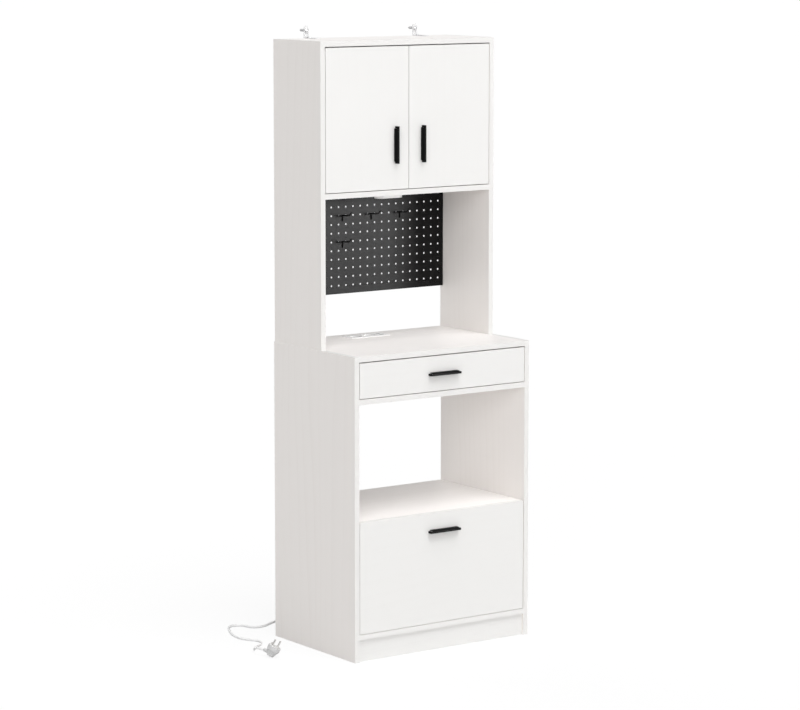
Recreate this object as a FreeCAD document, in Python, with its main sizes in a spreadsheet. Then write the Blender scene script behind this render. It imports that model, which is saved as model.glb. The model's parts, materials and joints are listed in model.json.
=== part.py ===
import FreeCAD, Part

import math
import os

import Sketcher

# Tall microwave cabinet: an open base cabinet with a drawer, a microwave bay and a
# deep drawer, and a shallower hutch with two doors, a pegboard and a power outlet.
# Frame: +X is the right-hand side seen from the front, +Y points to the wall, +Z is up.
# The origin lies on the floor, in the middle of the whole object's width and depth.

Vector = FreeCAD.Vector
Rotation = FreeCAD.Rotation

doc = FreeCAD.newDocument("MicrowaveCabinet")

# ---------------------------------------------------------------------------
# Driving dimensions, in millimetres and degrees
# ---------------------------------------------------------------------------
DIMENSIONS = (
    ("cabinet_width", 600, "outside width of the base"),
    ("cabinet_depth", 400, "outside depth of the base"),
    ("cabinet_height", 1700, "floor to the top of the hutch"),
    ("base_height", 850, "floor to the counter"),
    ("panel", 15, "thickness of the melamine boards"),
    ("back_board", 9, "thickness of the boards that close the back"),
    ("hutch_depth", 234, "outside depth of the hutch"),
    ("hutch_inset", 3, "step from the base's side to the hutch's side"),
    ("plinth_height", 62, "height of the toe boards"),
    ("plinth_recess", 7, "how far the front toe board stands back"),
    ("shelf_level", 391, "top of the microwave shelf"),
    ("rail_level", 118, "counter's top down to the board below the drawer"),
    ("cupboard_level", 1282, "top of the hutch's fixed shelf"),
    ("inner_shelf_level", 1484, "top of the loose shelf behind the doors"),
    ("inner_shelf_gap", 1, "play at each end of the loose shelf"),
    ("inner_shelf_setback", 20, "from the doors' back to the loose shelf"),
    ("front_gap", 2, "gap beside and below the doors and beside the drawer fronts"),
    ("top_gap", 3, "gap above the doors and above the drawer's front"),
    ("deep_front_gap", 1, "gap below the deep drawer's front"),
    ("buffer_gap", 1, "gap behind the deep drawer's front"),
    ("handle_length", 104, "length of each handle"),
    ("handle_reach", 14, "how far a handle stands out"),
    ("handle_width", 9, "width of a handle's face"),
    ("handle_bevel", 3, "bevel along a handle's lit edge"),
    ("handle_web", 2.5, "wall of a handle beside its finger groove"),
    ("handle_lip", 3.5, "wall of a handle in front of its finger groove"),
    ("handle_foot", 6, "length of a handle's end foot"),
    ("door_handle_side", 46, "doors' split to the axis of a door handle"),
    ("door_handle_level", 1408, "height of the door handles' middle"),
    ("deep_handle_drop", 51, "deep front's top to the axis of its handle"),
    ("cup_radius", 17.5, "hinge cup bored into the door"),
    ("cup_depth", 11, "depth of the hinge cup"),
    ("cup_wall", 1, "wall of the hinge cup"),
    ("cup_edge", 5, "door edge to the rim of the hinge cup"),
    ("cup_flange", 1.5, "flange of the cup on the door's back"),
    ("hinge_margin", 70, "door's end to the middle of a hinge"),
    ("hinge_arm_length", 52, "length of a hinge arm"),
    ("hinge_arm_width", 18, "height of a hinge arm"),
    ("hinge_arm_height", 9, "how far the arm stands off the side board"),
    ("hinge_plate", 3, "thickness of the hinge's mounting plate"),
    ("hinge_nose_near", 16, "door edge to the near side of the arm's nose"),
    ("hinge_nose_far", 24, "door edge to the far side of the arm's nose"),
    ("hinge_nose_bite", 5, "how far the nose reaches into the cup"),
    ("hinge_link", 4, "thickness of the crank between the arm and its nose"),
    ("hinge_play", 0.3, "play between a hinge's cup and its arm"),
    ("hinge_plate_height", 43, "height of the hinge's mounting plate"),
    ("cup_wing", 10, "how far the cup's flange passes the cup at each end"),
    ("slide_space", 13, "side clearance that a pair of runners fills"),
    ("slide_height", 45, "height of a runner's outer channel"),
    ("slide_steel", 1.2, "thickness of the runners' steel"),
    ("slide_play", 0.5, "play between nested runner channels"),
    ("slide_setback", 6, "drawer front's back to the runner"),
    ("drawer_slide_length", 250, "length of the drawer's runners"),
    ("deep_slide_length", 350, "length of the deep drawer's runners"),
    ("box_wall", 12, "thickness of the drawer boxes' sides"),
    ("box_floor", 5, "thickness of the drawer boxes' floors"),
    ("box_lift", 8, "a drawer front's lower edge to its box"),
    ("drawer_box_height", 74, "height of the drawer's box"),
    ("drawer_box_length", 280, "depth of the drawer's box"),
    ("deep_box_height", 200, "height of the deep drawer's box"),
    ("deep_box_length", 358, "depth of the deep drawer's box"),
    ("peg_sheet", 1.5, "steel of the pegboard"),
    ("peg_flange", 14, "depth of the pegboard's folded edges"),
    ("peg_height", 296, "height of the pegboard"),
    ("peg_play", 1, "play beside the pegboard"),
    ("peg_pitch", 25, "distance between the pegboard's holes"),
    ("peg_columns", 22, "holes in a row of the pegboard"),
    ("peg_rows", 11, "holes in a column of the pegboard"),
    ("peg_margin", 24, "pegboard's lower edge to its lowest holes"),
    ("peg_hole", 2.5, "radius of a pegboard hole"),
    ("hook_wire", 2, "radius of a hook's cross bar"),
    ("hook_arm_wire", 1.8, "radius of a hook's arm and prongs"),
    ("hook_leg_wire", 1.6, "radius of the leg below a hook"),
    ("hook_bar", 40, "width of a hook's cross bar"),
    ("hook_arm", 32, "length of a hook's level arm"),
    ("hook_rise", 13, "rise of a hook's tip"),
    ("hook_leg", 17, "length of the leg below a hook"),
    ("lamp_length", 88, "length of the lamp"),
    ("lamp_width", 36, "width of the lamp"),
    ("lamp_height", 16, "height of the lamp"),
    ("lamp_setback", 100, "hutch front to the middle of the lamp"),
    ("lamp_lens", 4, "thickness of the lamp's diffuser"),
    ("lamp_rim", 3, "lamp's rim round its diffuser"),
    ("lamp_sensor", 4, "radius of the lamp's touch sensor"),
    ("outlet_length", 133, "length of the outlet's plate"),
    ("outlet_width", 55, "width of the outlet's plate"),
    ("outlet_plate", 2, "how proud the plate stands on the counter"),
    ("outlet_body", 40, "depth of the outlet's body below the plate"),
    ("outlet_lip", 4, "overlap of the plate on the counter"),
    ("outlet_back", 30, "cabinet's back to the plate"),
    ("outlet_left", 210, "base's left side to the plate"),
    ("outlet_play", 0.5, "play round the outlet's body in the counter"),
    ("socket_radius", 19.5, "radius of a socket's recess"),
    ("socket_depth", 17.5, "depth of a socket's recess"),
    ("socket_wall", 2, "wall of a socket insert"),
    ("socket_first", 27, "plate's left end to the first socket"),
    ("socket_pitch", 45, "distance between the sockets"),
    ("pin_spacing", 19, "distance between the pins of a plug"),
    ("pin_bore", 2.7, "radius of a pin's hole"),
    ("pin_radius", 2.4, "radius of a plug's pin"),
    ("usb_offset", 19, "plate's right end to the charging ports"),
    ("usb_width", 13, "width of a charging port"),
    ("usb_slot", 5.5, "height of a charging port"),
    ("usb_pitch", 18, "distance between the charging ports"),
    ("gland_radius", 8, "radius of the cord's grommet"),
    ("gland_level", 34, "counter's top down to the cord's grommet"),
    ("gland_reach", 22, "how far the strain relief stands behind the back"),
    ("gland_side", 276.5, "base's left side to the grommet"),
    ("gland_collar", 3, "how far the grommet's collar stands behind the back"),
    ("gland_step", 2, "step from the collar to the tapered strain relief"),
    ("gland_wall", 1, "wall of the strain relief at the cord"),
    ("cord_radius", 3.25, "radius of the mains cord"),
    ("plug_radius", 18.5, "radius of the plug's round head"),
    ("plug_thickness", 9, "thickness of the plug's head"),
    ("plug_depth", 30, "plug's face to its back"),
    ("plug_tail", 9.5, "radius of the plug's back"),
    ("plug_lift", 0.2, "play between the plug's back and the floor"),
    ("plug_entry", 12, "plug's back to the axis of its neck"),
    ("plug_length", 28, "cord's end to the plug's axis"),
    ("plug_neck", 8, "radius of the plug's neck at the plug's axis"),
    ("strip_width", 6, "width of a plug's earth strip"),
    ("strip_metal", 1.5, "thickness of a plug's earth strip"),
    ("strip_height", 4, "how far an earth strip stands on the plug's face"),
    ("strip_inset", 2, "rim of the plug's face to the middle of an earth strip"),
    ("bracket_spacing", 376, "distance between the wall brackets"),
    ("bracket_width", 16, "width of a wall bracket"),
    ("bracket_steel", 2, "thickness of a wall bracket"),
    ("bracket_leg", 35, "height of a bracket's upright leg"),
    ("bracket_foot", 60, "length of a bracket's lying leg"),
    ("bracket_screw_level", 22, "hutch top to the wall screw"),
    ("bracket_free_level", 10, "hutch top to the free hole"),
    ("bracket_hole", 2.6, "radius of the holes in a bracket"),
    ("bracket_foot_screw", 14, "bracket's back to its lower screw"),
    ("wall_reach", 28, "how far the wall plugs stand behind the back"),
    ("plug_sleeve", 4, "radius of a wall plug"),
    ("screw_radius", 2.5, "radius of a wood screw"),
    ("screw_head", 4.5, "radius of a pan head"),
    ("screw_head_height", 2.4, "height of a pan head"),
    ("screw_length", 13, "length of a wood screw under its head"),
    ("peg_screw_margin", 40, "pegboard's corner to a side screw"),
    ("cam_radius", 7.5, "radius of a cam disc"),
    ("cam_depth", 11.5, "depth of a cam disc"),
    ("cam_distance", 34, "side board to the middle of a cam disc"),
    ("cam_inset", 50, "board's edge to a cam disc"),
    ("cam_play", 0.1, "play round the cams and their bolts"),
    ("bolt_radius", 3, "radius of a cam bolt"),
    ("bolt_bite", 10, "length of a cam bolt in the side board"),
    ("pin_inset", 40, "hutch's edge to an alignment pin"),
    ("pin_length", 40, "length of an alignment pin"),
    ("shelf_pin_radius", 2.5, "radius of a shelf pin"),
    ("shelf_pin_length", 18, "length of a shelf pin"),
    ("shelf_pin_bite", 9, "length of a shelf pin in the side board"),
    ("shelf_pin_inset", 35, "loose shelf's edge to a shelf pin"),
)

sheet = doc.addObject("Spreadsheet::Sheet", "Sizes")
for row, (alias, value, meaning) in enumerate(DIMENSIONS, start=1):
    sheet.set(f"A{row}", meaning)
    sheet.set(f"B{row}", str(value))
    sheet.setAlias(f"B{row}", alias)
doc.recompute()


def size(alias):
    """The value of a driving dimension, for shapes that are computed in this script."""
    return float(getattr(sheet, alias))


def cells(text):
    """An expression in which every driving dimension's name points at its cell."""
    for alias in sorted((entry[0] for entry in DIMENSIONS), key=len, reverse=True):
        text = text.replace(f"@{alias}@", f"Sizes.{alias}")
    return f"({text})"


# Places that many pieces share, as expressions on the sheet
FRONT = cells("-(@cabinet_depth@ + @wall_reach@ - @handle_reach@) / 2")
BACK = cells(f"{FRONT} + @cabinet_depth@")
HUTCH_FRONT = cells(f"{BACK} - @hutch_depth@")
BOARD_BACK = cells(f"{BACK} - @back_board@")
BASE_OUT = cells("@cabinet_width@ / 2")
BASE_IN = cells(f"{BASE_OUT} - @panel@")
HUTCH_OUT = cells(f"{BASE_OUT} - @hutch_inset@")
HUTCH_IN = cells(f"{HUTCH_OUT} - @panel@")
COUNTER_LOW = cells("@base_height@ - @panel@")
RAIL_TOP = cells("@base_height@ - @rail_level@")
RAIL_LOW = cells(f"{RAIL_TOP} - @panel@")
SHELF_LOW = cells("@shelf_level@ - @panel@")
FLOOR_BOARD = cells("@plinth_height@ + @panel@")
CUPBOARD_LOW = cells("@cupboard_level@ - @panel@")
TOP_LOW = cells("@cabinet_height@ - @panel@")

pieces = []
PAST = 1  # how far a cutting tool passes the face that it leaves through
TURNS = {
    "X": Rotation(Vector(0, 1, 0), 90),
    "Y": Rotation(Vector(1, 0, 0), -90),
    "Z": Rotation(),
}


def add(label, piece):
    """Enters a finished piece under its own label, which names its file."""
    piece.Label = label
    pieces.append(piece)
    return piece


def span(centre, width):
    """The two ends of a stretch of a given width about its centre."""
    return (f"({centre}) - ({width}) / 2", f"({centre}) + ({width}) / 2")


def mirrored(stretch):
    """A stretch along X on the other side of the middle."""
    low, high = stretch
    return (f"-({high})", f"-({low})")


def box(name, x, y, z):
    """A block between two expressions along each axis."""
    block = doc.addObject("Part::Box", name)
    sides = (("Length", "x", x), ("Width", "y", y), ("Height", "z", z))
    for side, axis, (low, high) in sides:
        block.setExpression(side, cells(f"({high}) - ({low})"))
        block.setExpression(f".Placement.Base.{axis}", cells(low))
    return block


def rod(name, axis, start, radius, length):
    """A round bar that runs along an axis from its start point."""
    bar = doc.addObject("Part::Cylinder", name)
    bar.Placement = FreeCAD.Placement(Vector(), TURNS[axis])
    bar.setExpression("Radius", cells(radius))
    bar.setExpression("Height", cells(length))
    for place, value in zip("xyz", start):
        bar.setExpression(f".Placement.Base.{place}", cells(value))
    return bar


def cut(name, base, tools):
    """A base with tools taken away, which have to remove something."""
    bundle = doc.addObject("Part::Compound", f"{name}_tools")
    bundle.Links = tools
    result = doc.addObject("Part::Cut", name)
    result.Base = base
    result.Tool = bundle
    doc.recompute()
    if result.Shape.Volume >= base.Shape.Volume:
        raise ValueError(f"{name}: the cut removes nothing")
    return result


def fuse(name, parts):
    """Several touching shapes joined into one solid."""
    result = doc.addObject("Part::MultiFuse", name)
    result.Shapes = parts
    result.Refine = True
    return result


def group(name, parts):
    """Like pieces that share one node as separate solids."""
    bundle = doc.addObject("Part::Compound", name)
    bundle.Links = parts
    return bundle


def feature(name, shape):
    """A shape that this script computes from the sheet's values."""
    piece = doc.addObject("Part::Feature", name)
    piece.Shape = shape
    return piece


# ---------------------------------------------------------------------------
# Cam fittings: a disc in the board's underside draws a bolt out of the side board
# ---------------------------------------------------------------------------
cam_discs = []
cam_bolts = []
side_holes = {"base": {-1: [], 1: []}, "hutch": {-1: [], 1: []}}


def cam_joints(name, part, inner, rows, low):
    """Tools that bore a board for its cams, with the cams and bolts themselves."""
    tools = []
    mid = f"{low} + @panel@ / 2"
    for side, word in ((-1, "left"), (1, "right")):
        for number, row in enumerate(rows, start=1):
            tag = f"{name}_{word}_{number}"
            centre = f"{side} * ({inner} - @cam_distance@)"
            inner_end = f"{side} * ({inner} - @cam_distance@ + @cam_radius@ + 2 * @cam_play@)"
            wall_end = f"{side} * ({inner} + @bolt_bite@)"
            start = wall_end if side < 0 else inner_end
            length = "@bolt_bite@ + @cam_distance@ - @cam_radius@ - 2 * @cam_play@"
            bore = "@bolt_radius@ + @cam_play@"
            tools.append(rod(f"{tag}_pocket", "Z", (centre, row, low),
                             "@cam_radius@ + @cam_play@", "@cam_depth@ + @cam_play@"))
            tools.append(rod(f"{tag}_bore", "X", (start, row, mid), bore, length))
            side_holes[part][side].append(
                rod(f"{tag}_side_bore", "X", (start, row, mid), bore, length))
            cam_discs.append(rod(f"{tag}_disc", "Z", (centre, row, low),
                                 "@cam_radius@", "@cam_depth@"))
            cam_bolts.append(rod(f"{tag}_bolt", "X", (start, row, mid),
                                 "@bolt_radius@", length))
    return tools


def cam_board(label, part, inner, y, z):
    """A level board between two side boards, held by four cam fittings."""
    board = box(f"{label}_blank", (f"-{inner}", inner), y, z)
    rows = (f"{y[0]} + @cam_inset@", f"{y[1]} - @cam_inset@")
    tools = cam_joints(label, part, inner, rows, z[0])
    return board, tools


# ---------------------------------------------------------------------------
# Base cabinet
# ---------------------------------------------------------------------------
DEPTH = (FRONT, BACK)
OUTLET_X = (f"-{BASE_OUT} + @outlet_left@", f"-{BASE_OUT} + @outlet_left@ + @outlet_length@")
OUTLET_Y = (f"{BACK} - @outlet_back@ - @outlet_width@", f"{BACK} - @outlet_back@")
BODY_X = (f"{OUTLET_X[0]} + @outlet_lip@", f"{OUTLET_X[1]} - @outlet_lip@")
BODY_Y = (f"{OUTLET_Y[0]} + @outlet_lip@", f"{OUTLET_Y[1]} - @outlet_lip@")

blank, tools = cam_board("counter_top", "base", BASE_IN, DEPTH,
                         (COUNTER_LOW, "@base_height@"))
tools.append(box("outlet_opening",
                 (f"{BODY_X[0]} - @outlet_play@", f"{BODY_X[1]} + @outlet_play@"),
                 (f"{BODY_Y[0]} - @outlet_play@", f"{BODY_Y[1]} + @outlet_play@"),
                 (f"{COUNTER_LOW} - {PAST}", f"@base_height@ + {PAST}")))
add("counter_top", cut("counter_top_board", blank, tools))

blank, tools = cam_board("drawer_shelf", "base", BASE_IN, DEPTH, (RAIL_LOW, RAIL_TOP))
add("drawer_shelf", cut("drawer_shelf_board", blank, tools))

SHELF_FRONT = f"{FRONT} + @panel@ + @buffer_gap@"
blank, tools = cam_board("microwave_shelf", "base", BASE_IN, (SHELF_FRONT, BACK),
                         (SHELF_LOW, "@shelf_level@"))
add("microwave_shelf", cut("microwave_shelf_board", blank, tools))

blank, tools = cam_board("bottom_panel", "base", BASE_IN, DEPTH,
                         ("@plinth_height@", FLOOR_BOARD))
add("bottom_panel", cut("bottom_panel_board", blank, tools))

SPAN = (f"-{BASE_IN}", BASE_IN)
PLINTH_FRONT = f"{FRONT} + @plinth_recess@"
add("plinth_front", box("plinth_front_board", SPAN,
                        (PLINTH_FRONT, f"{PLINTH_FRONT} + @panel@"), ("0", "@plinth_height@")))
add("plinth_back", box("plinth_back_board", SPAN, (f"{BACK} - @panel@", BACK),
                       ("0", "@plinth_height@")))
add("lower_back_board", box("lower_back_blank", SPAN, (BOARD_BACK, BACK),
                            (FLOOR_BOARD, SHELF_LOW)))

GLAND_X = f"-{BASE_OUT} + @gland_side@"
GLAND_LEVEL = cells("@base_height@ - @gland_level@")
blank = box("drawer_back_blank", SPAN, (BOARD_BACK, BACK), (RAIL_TOP, COUNTER_LOW))
hole = rod("gland_hole", "Y", (GLAND_X, f"{BOARD_BACK} - {PAST}", GLAND_LEVEL),
           "@gland_radius@", f"@back_board@ + 2 * {PAST}")
add("drawer_back_board", cut("drawer_back_piece", blank, [hole]))

# ---------------------------------------------------------------------------
# Hutch
# ---------------------------------------------------------------------------
HUTCH_Y = (HUTCH_FRONT, BACK)
HUTCH_SPAN = (f"-{HUTCH_IN}", HUTCH_IN)

blank, tools = cam_board("hutch_top", "hutch", HUTCH_IN, HUTCH_Y,
                         (TOP_LOW, "@cabinet_height@"))
BRACKET_X = ("-@bracket_spacing@ / 2", "@bracket_spacing@ / 2")
BRACKET_SCREW_Y = f"{BACK} - @bracket_foot_screw@"
for number, centre in enumerate(BRACKET_X, start=1):
    tools.append(rod(f"bracket_pilot_{number}", "Z",
                     (centre, BRACKET_SCREW_Y, "@cabinet_height@ - @screw_length@"),
                     "@screw_radius@ + @cam_play@", f"@screw_length@ + {PAST}"))
add("hutch_top", cut("hutch_top_board", blank, tools))

blank, tools = cam_board("hutch_shelf", "hutch", HUTCH_IN, HUTCH_Y,
                         (CUPBOARD_LOW, "@cupboard_level@"))
add("hutch_shelf", cut("hutch_shelf_board", blank, tools))

add("cupboard_back_board", box("cupboard_back_blank", HUTCH_SPAN, (BOARD_BACK, BACK),
                               ("@cupboard_level@", TOP_LOW)))

# The loose shelf lies on four pins that stick out of the hutch's sides.
DOOR_BACK = f"{HUTCH_FRONT} + @panel@"
LOOSE_Y = (f"{DOOR_BACK} + @inner_shelf_setback@", f"{BOARD_BACK} - @inner_shelf_gap@")
LOOSE_HALF = f"({HUTCH_IN} - @inner_shelf_gap@)"
add("inner_shelf", box("inner_shelf_board", (f"-{LOOSE_HALF}", LOOSE_HALF), LOOSE_Y,
                       ("@inner_shelf_level@ - @panel@", "@inner_shelf_level@")))
PIN_LEVEL = "@inner_shelf_level@ - @panel@ - @shelf_pin_radius@"
shelf_pins = []
for side, word in ((-1, "left"), (1, "right")):
    for number, row in enumerate((f"{LOOSE_Y[0]} + @shelf_pin_inset@",
                                  f"{LOOSE_Y[1]} - @shelf_pin_inset@"), start=1):
        reach = "@shelf_pin_bite@" if side < 0 else "@shelf_pin_length@ - @shelf_pin_bite@"
        start = (f"{side} * {HUTCH_IN} - ({reach})", row, PIN_LEVEL)
        shelf_pins.append(rod(f"shelf_pin_{word}_{number}", "X", start,
                              "@shelf_pin_radius@", "@shelf_pin_length@"))
        side_holes["hutch"][side].append(
            rod(f"shelf_pin_bore_{word}_{number}", "X", start,
                "@shelf_pin_radius@ + @cam_play@", "@shelf_pin_length@"))
add("shelf_pins", group("shelf_pin_set", shelf_pins))

# Steel pins stand in the base's sides and line the hutch up on them.
PIN_X = f"({BASE_OUT} - @panel@ / 2 - @hutch_inset@ / 2)"
hutch_pins = []
for side, word in ((-1, "left"), (1, "right")):
    for number, row in enumerate((f"{HUTCH_FRONT} + @pin_inset@", f"{BACK} - @pin_inset@"),
                                 start=1):
        start = (f"{side} * {PIN_X}", row, "@base_height@ - @pin_length@ / 2")
        hutch_pins.append(rod(f"hutch_pin_{word}_{number}", "Z", start,
                              "@bolt_radius@", "@pin_length@"))
        for part in ("base", "hutch"):
            side_holes[part][side].append(
                rod(f"{part}_pin_bore_{word}_{number}", "Z", start,
                    "@bolt_radius@ + @cam_play@", "@pin_length@"))
add("hutch_pins", group("hutch_pin_set", hutch_pins))

# ---------------------------------------------------------------------------
# Pegboard: one folded steel tray with a grid of holes, screwed to the hutch's sides
# ---------------------------------------------------------------------------
PEG_FRONT = cells(f"{BACK} - @peg_flange@")
PEG_TOP = CUPBOARD_LOW
PEG_LOW = cells(f"{CUPBOARD_LOW} - @peg_height@")


def reader():
    """A hidden sheet object that turns shared expressions into numbers."""
    places = doc.addObject("App::FeaturePython", "Places")
    entries = (("front", FRONT), ("back", BACK), ("hutch_in", HUTCH_IN),
               ("peg_front", PEG_FRONT), ("peg_top", PEG_TOP), ("peg_low", PEG_LOW),
               ("gland_x", cells(GLAND_X)), ("base_out", BASE_OUT))
    for name, expression in entries:
        places.addProperty("App::PropertyFloat", name)
        places.setExpression(name, expression)
    doc.recompute()
    return places


places = reader()


def pegboard_shape():
    """The folded tray: a holed sheet with four edges turned towards the wall."""
    half = places.hutch_in - size("peg_play")
    low, top, front = places.peg_low, places.peg_top, places.peg_front
    steel, depth = size("peg_sheet"), size("peg_flange")
    columns, rows = int(size("peg_columns")), int(size("peg_rows"))
    pitch = size("peg_pitch")

    def sheet_point(x, z):
        return Vector(x, front, z)

    corners = [sheet_point(-half, low), sheet_point(half, low),
               sheet_point(half, top), sheet_point(-half, top)]
    face = Part.Face(Part.makePolygon(corners + corners[:1]))
    holes = []
    for column in range(columns):
        for row in range(rows):
            x = (column - (columns - 1) / 2) * pitch
            z = low + size("peg_margin") + row * pitch
            circle = Part.Circle(sheet_point(x, z), Vector(0, 1, 0), size("peg_hole"))
            holes.append(Part.Wire(circle.toShape()))
    outline = face.OuterWire
    holed = Part.Face([outline] + holes)
    tray = holed.extrude(Vector(0, steel, 0))
    flanges = [
        Part.makeBox(steel, depth, top - low, Vector(-half, front, low)),
        Part.makeBox(steel, depth, top - low, Vector(half - steel, front, low)),
        Part.makeBox(2 * half, depth, steel, Vector(-half, front, low)),
        Part.makeBox(2 * half, depth, steel, Vector(-half, front, top - steel)),
    ]
    frame = flanges[0].multiFuse(flanges[1:])
    for side in (-1, 1):
        for level in (low + size("peg_screw_margin"), top - size("peg_screw_margin")):
            start = Vector(side * (half - steel / 2) - steel, front + depth / 2, level)
            bore = Part.makeCylinder(size("screw_radius") + size("cam_play"), 2 * steel,
                                     start, Vector(1, 0, 0))
            frame = frame.cut(bore)
    return tray.fuse(frame).removeSplitter()


add("pegboard", feature("pegboard_tray", pegboard_shape()))


def rounded_path(points, bend=None):
    """Straight runs joined by tangent arcs, of one bend or as large as the runs allow."""
    edges = []
    radii = []
    last = points[0]
    for before, corner, after in zip(points, points[1:], points[2:]):
        first = corner - before
        second = after - corner
        turn = first.getAngle(second)
        radius = bend
        if bend is None:
            radius = 0.45 * min(first.Length, second.Length) / math.tan(turn / 2)
        radii.append(radius)
        set_back = radius * math.tan(turn / 2)
        start = corner - first.normalize() * set_back
        end = corner + second.normalize() * set_back
        inward = (second - first).normalize()
        crown = corner + inward * (radius / math.cos(turn / 2) - radius)
        edges.append(Part.LineSegment(last, start).toShape())
        edges.append(Part.Arc(start, crown, end).toShape())
        last = end
    edges.append(Part.LineSegment(last, points[-1]).toShape())
    return Part.Wire(edges), radii


def tube_along(path, points, radius):
    """A round tube along a path that starts at the first of its points."""
    ring = Part.Wire(Part.Circle(points[0], points[1] - points[0], radius).toShape())
    return path.makePipeShell([ring], True, False)


def hook_shape(column, row_from_top):
    """A wire hook: two prongs through the board, a cross bar, an arm and a leg."""
    pitch = size("peg_pitch")
    radius = size("hook_wire")
    x = (column - (size("peg_columns") - 1) / 2) * pitch
    level = (places.peg_low + size("peg_margin")
             + (size("peg_rows") - 1 - row_from_top) * pitch)
    y = places.peg_front - radius
    arm, rise, wire = size("hook_arm"), size("hook_rise"), size("hook_arm_wire")
    behind = size("peg_sheet") + 3 * radius
    solid = Part.makeCylinder(radius, size("hook_bar"),
                              Vector(x - size("hook_bar") / 2, y, level), Vector(1, 0, 0))
    for side in (-1, 1):
        start = Vector(x + side * pitch / 2, y, level)
        solid = solid.fuse(Part.makeCylinder(wire, behind, start, Vector(0, 1, 0)))
    line = [Vector(x, y, level), Vector(x, y - arm, level + radius),
            Vector(x, y - arm - rise, level + rise)]
    path = rounded_path(line, 2 * radius)[0]
    solid = solid.fuse(tube_along(path, line, wire))
    leg = Part.makeCylinder(size("hook_leg_wire"), size("hook_leg"), Vector(x, y, level),
                            Vector(0, 0, -1))
    return solid.fuse(leg).removeSplitter()


# Column of the hooks' middle, counted from the left, and row counted from the top
HOOK_PLACES = ((7.5, 2), (11.5, 2), (15.5, 2), (7.5, 5))
add("peg_hooks", group("peg_hook_set", [
    feature(f"hook_{number}", hook_shape(column, row))
    for number, (column, row) in enumerate(HOOK_PLACES, start=1)]))

# ---------------------------------------------------------------------------
# Wall brackets, wood screws and wall plugs
# ---------------------------------------------------------------------------
brackets = []
wall_screws = []
wall_plugs = []
wood_screws = []
TOP = "@cabinet_height@"


def pan_screw(name, axis, seat, outward):
    """A wood screw with its head on a seat and its shank running inward."""
    head_start = list(seat)
    shank_start = list(seat)
    index = "XYZ".index(axis)
    if outward > 0:
        shank_start[index] = f"{seat[index]} - @screw_length@"
    else:
        head_start[index] = f"{seat[index]} - @screw_head_height@"
    head = rod(f"{name}_head", axis, head_start, "@screw_head@", "@screw_head_height@")
    shank = rod(f"{name}_shank", axis, shank_start, "@screw_radius@", "@screw_length@")
    return fuse(name, [head, shank])


for number, centre in enumerate(BRACKET_X, start=1):
    across = span(centre, "@bracket_width@")
    crown = f"{TOP} + @bracket_leg@ - @bracket_width@ / 2"
    upright = box(f"bracket_upright_{number}", across, (f"{BACK} - @bracket_steel@", BACK),
                  (TOP, crown))
    round_end = rod(f"bracket_round_end_{number}", "Y", (centre, f"{BACK} - @bracket_steel@", crown),
                    "@bracket_width@ / 2", "@bracket_steel@")
    foot = box(f"bracket_foot_{number}", across, (f"{BACK} - @bracket_foot@", BACK),
               (TOP, f"{TOP} + @bracket_steel@"))
    angle = fuse(f"bracket_angle_{number}", [upright, round_end, foot])
    holes = [
        rod(f"bracket_wall_hole_{number}", "Y",
            (centre, f"{BACK} - @bracket_steel@ - {PAST}", f"{TOP} + @bracket_screw_level@"),
            "@bracket_hole@", f"@bracket_steel@ + 2 * {PAST}"),
        rod(f"bracket_free_hole_{number}", "Y",
            (centre, f"{BACK} - @bracket_steel@ - {PAST}", f"{TOP} + @bracket_free_level@"),
            "@bracket_hole@", f"@bracket_steel@ + 2 * {PAST}"),
        rod(f"bracket_foot_hole_{number}", "Z", (centre, BRACKET_SCREW_Y, f"{TOP} - {PAST}"),
            "@bracket_hole@", f"@bracket_steel@ + 2 * {PAST}"),
        rod(f"bracket_spare_hole_{number}", "Z",
            (centre, f"{BACK} - @bracket_foot@ + @bracket_foot_screw@", f"{TOP} - {PAST}"),
            "@bracket_hole@", f"@bracket_steel@ + 2 * {PAST}"),
    ]
    doc.recompute()
    brackets.append(cut(f"bracket_{number}", angle, holes))
    wood_screws.append(pan_screw(f"bracket_screw_{number}", "Z",
                                 (centre, BRACKET_SCREW_Y, f"{TOP} + @bracket_steel@"), 1))
    level = f"{TOP} + @bracket_screw_level@"
    head = rod(f"wall_screw_head_{number}", "Y",
               (centre, f"{BACK} - @bracket_steel@ - @screw_head_height@", level),
               "@screw_head@", "@screw_head_height@")
    shank = rod(f"wall_screw_shank_{number}", "Y",
                (centre, f"{BACK} - @bracket_steel@", level),
                "@screw_radius@", "@bracket_steel@ + @wall_reach@ - @screw_head_height@")
    wall_screws.append(fuse(f"wall_screw_{number}", [head, shank]))
    sleeve = rod(f"wall_plug_body_{number}", "Y", (centre, BACK, level),
                 "@plug_sleeve@", "@wall_reach@")
    bore = rod(f"wall_plug_bore_{number}", "Y", (centre, f"{BACK} - {PAST}", level),
               "@screw_radius@ + @cam_play@",
               f"@wall_reach@ + {PAST} - @screw_head_height@ / 2")
    doc.recompute()
    wall_plugs.append(cut(f"wall_plug_{number}", sleeve, [bore]))

add("wall_brackets", group("bracket_pair", brackets))
add("wall_screws", group("wall_screw_pair", wall_screws))
add("wall_plugs", group("wall_plug_pair", wall_plugs))

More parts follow.
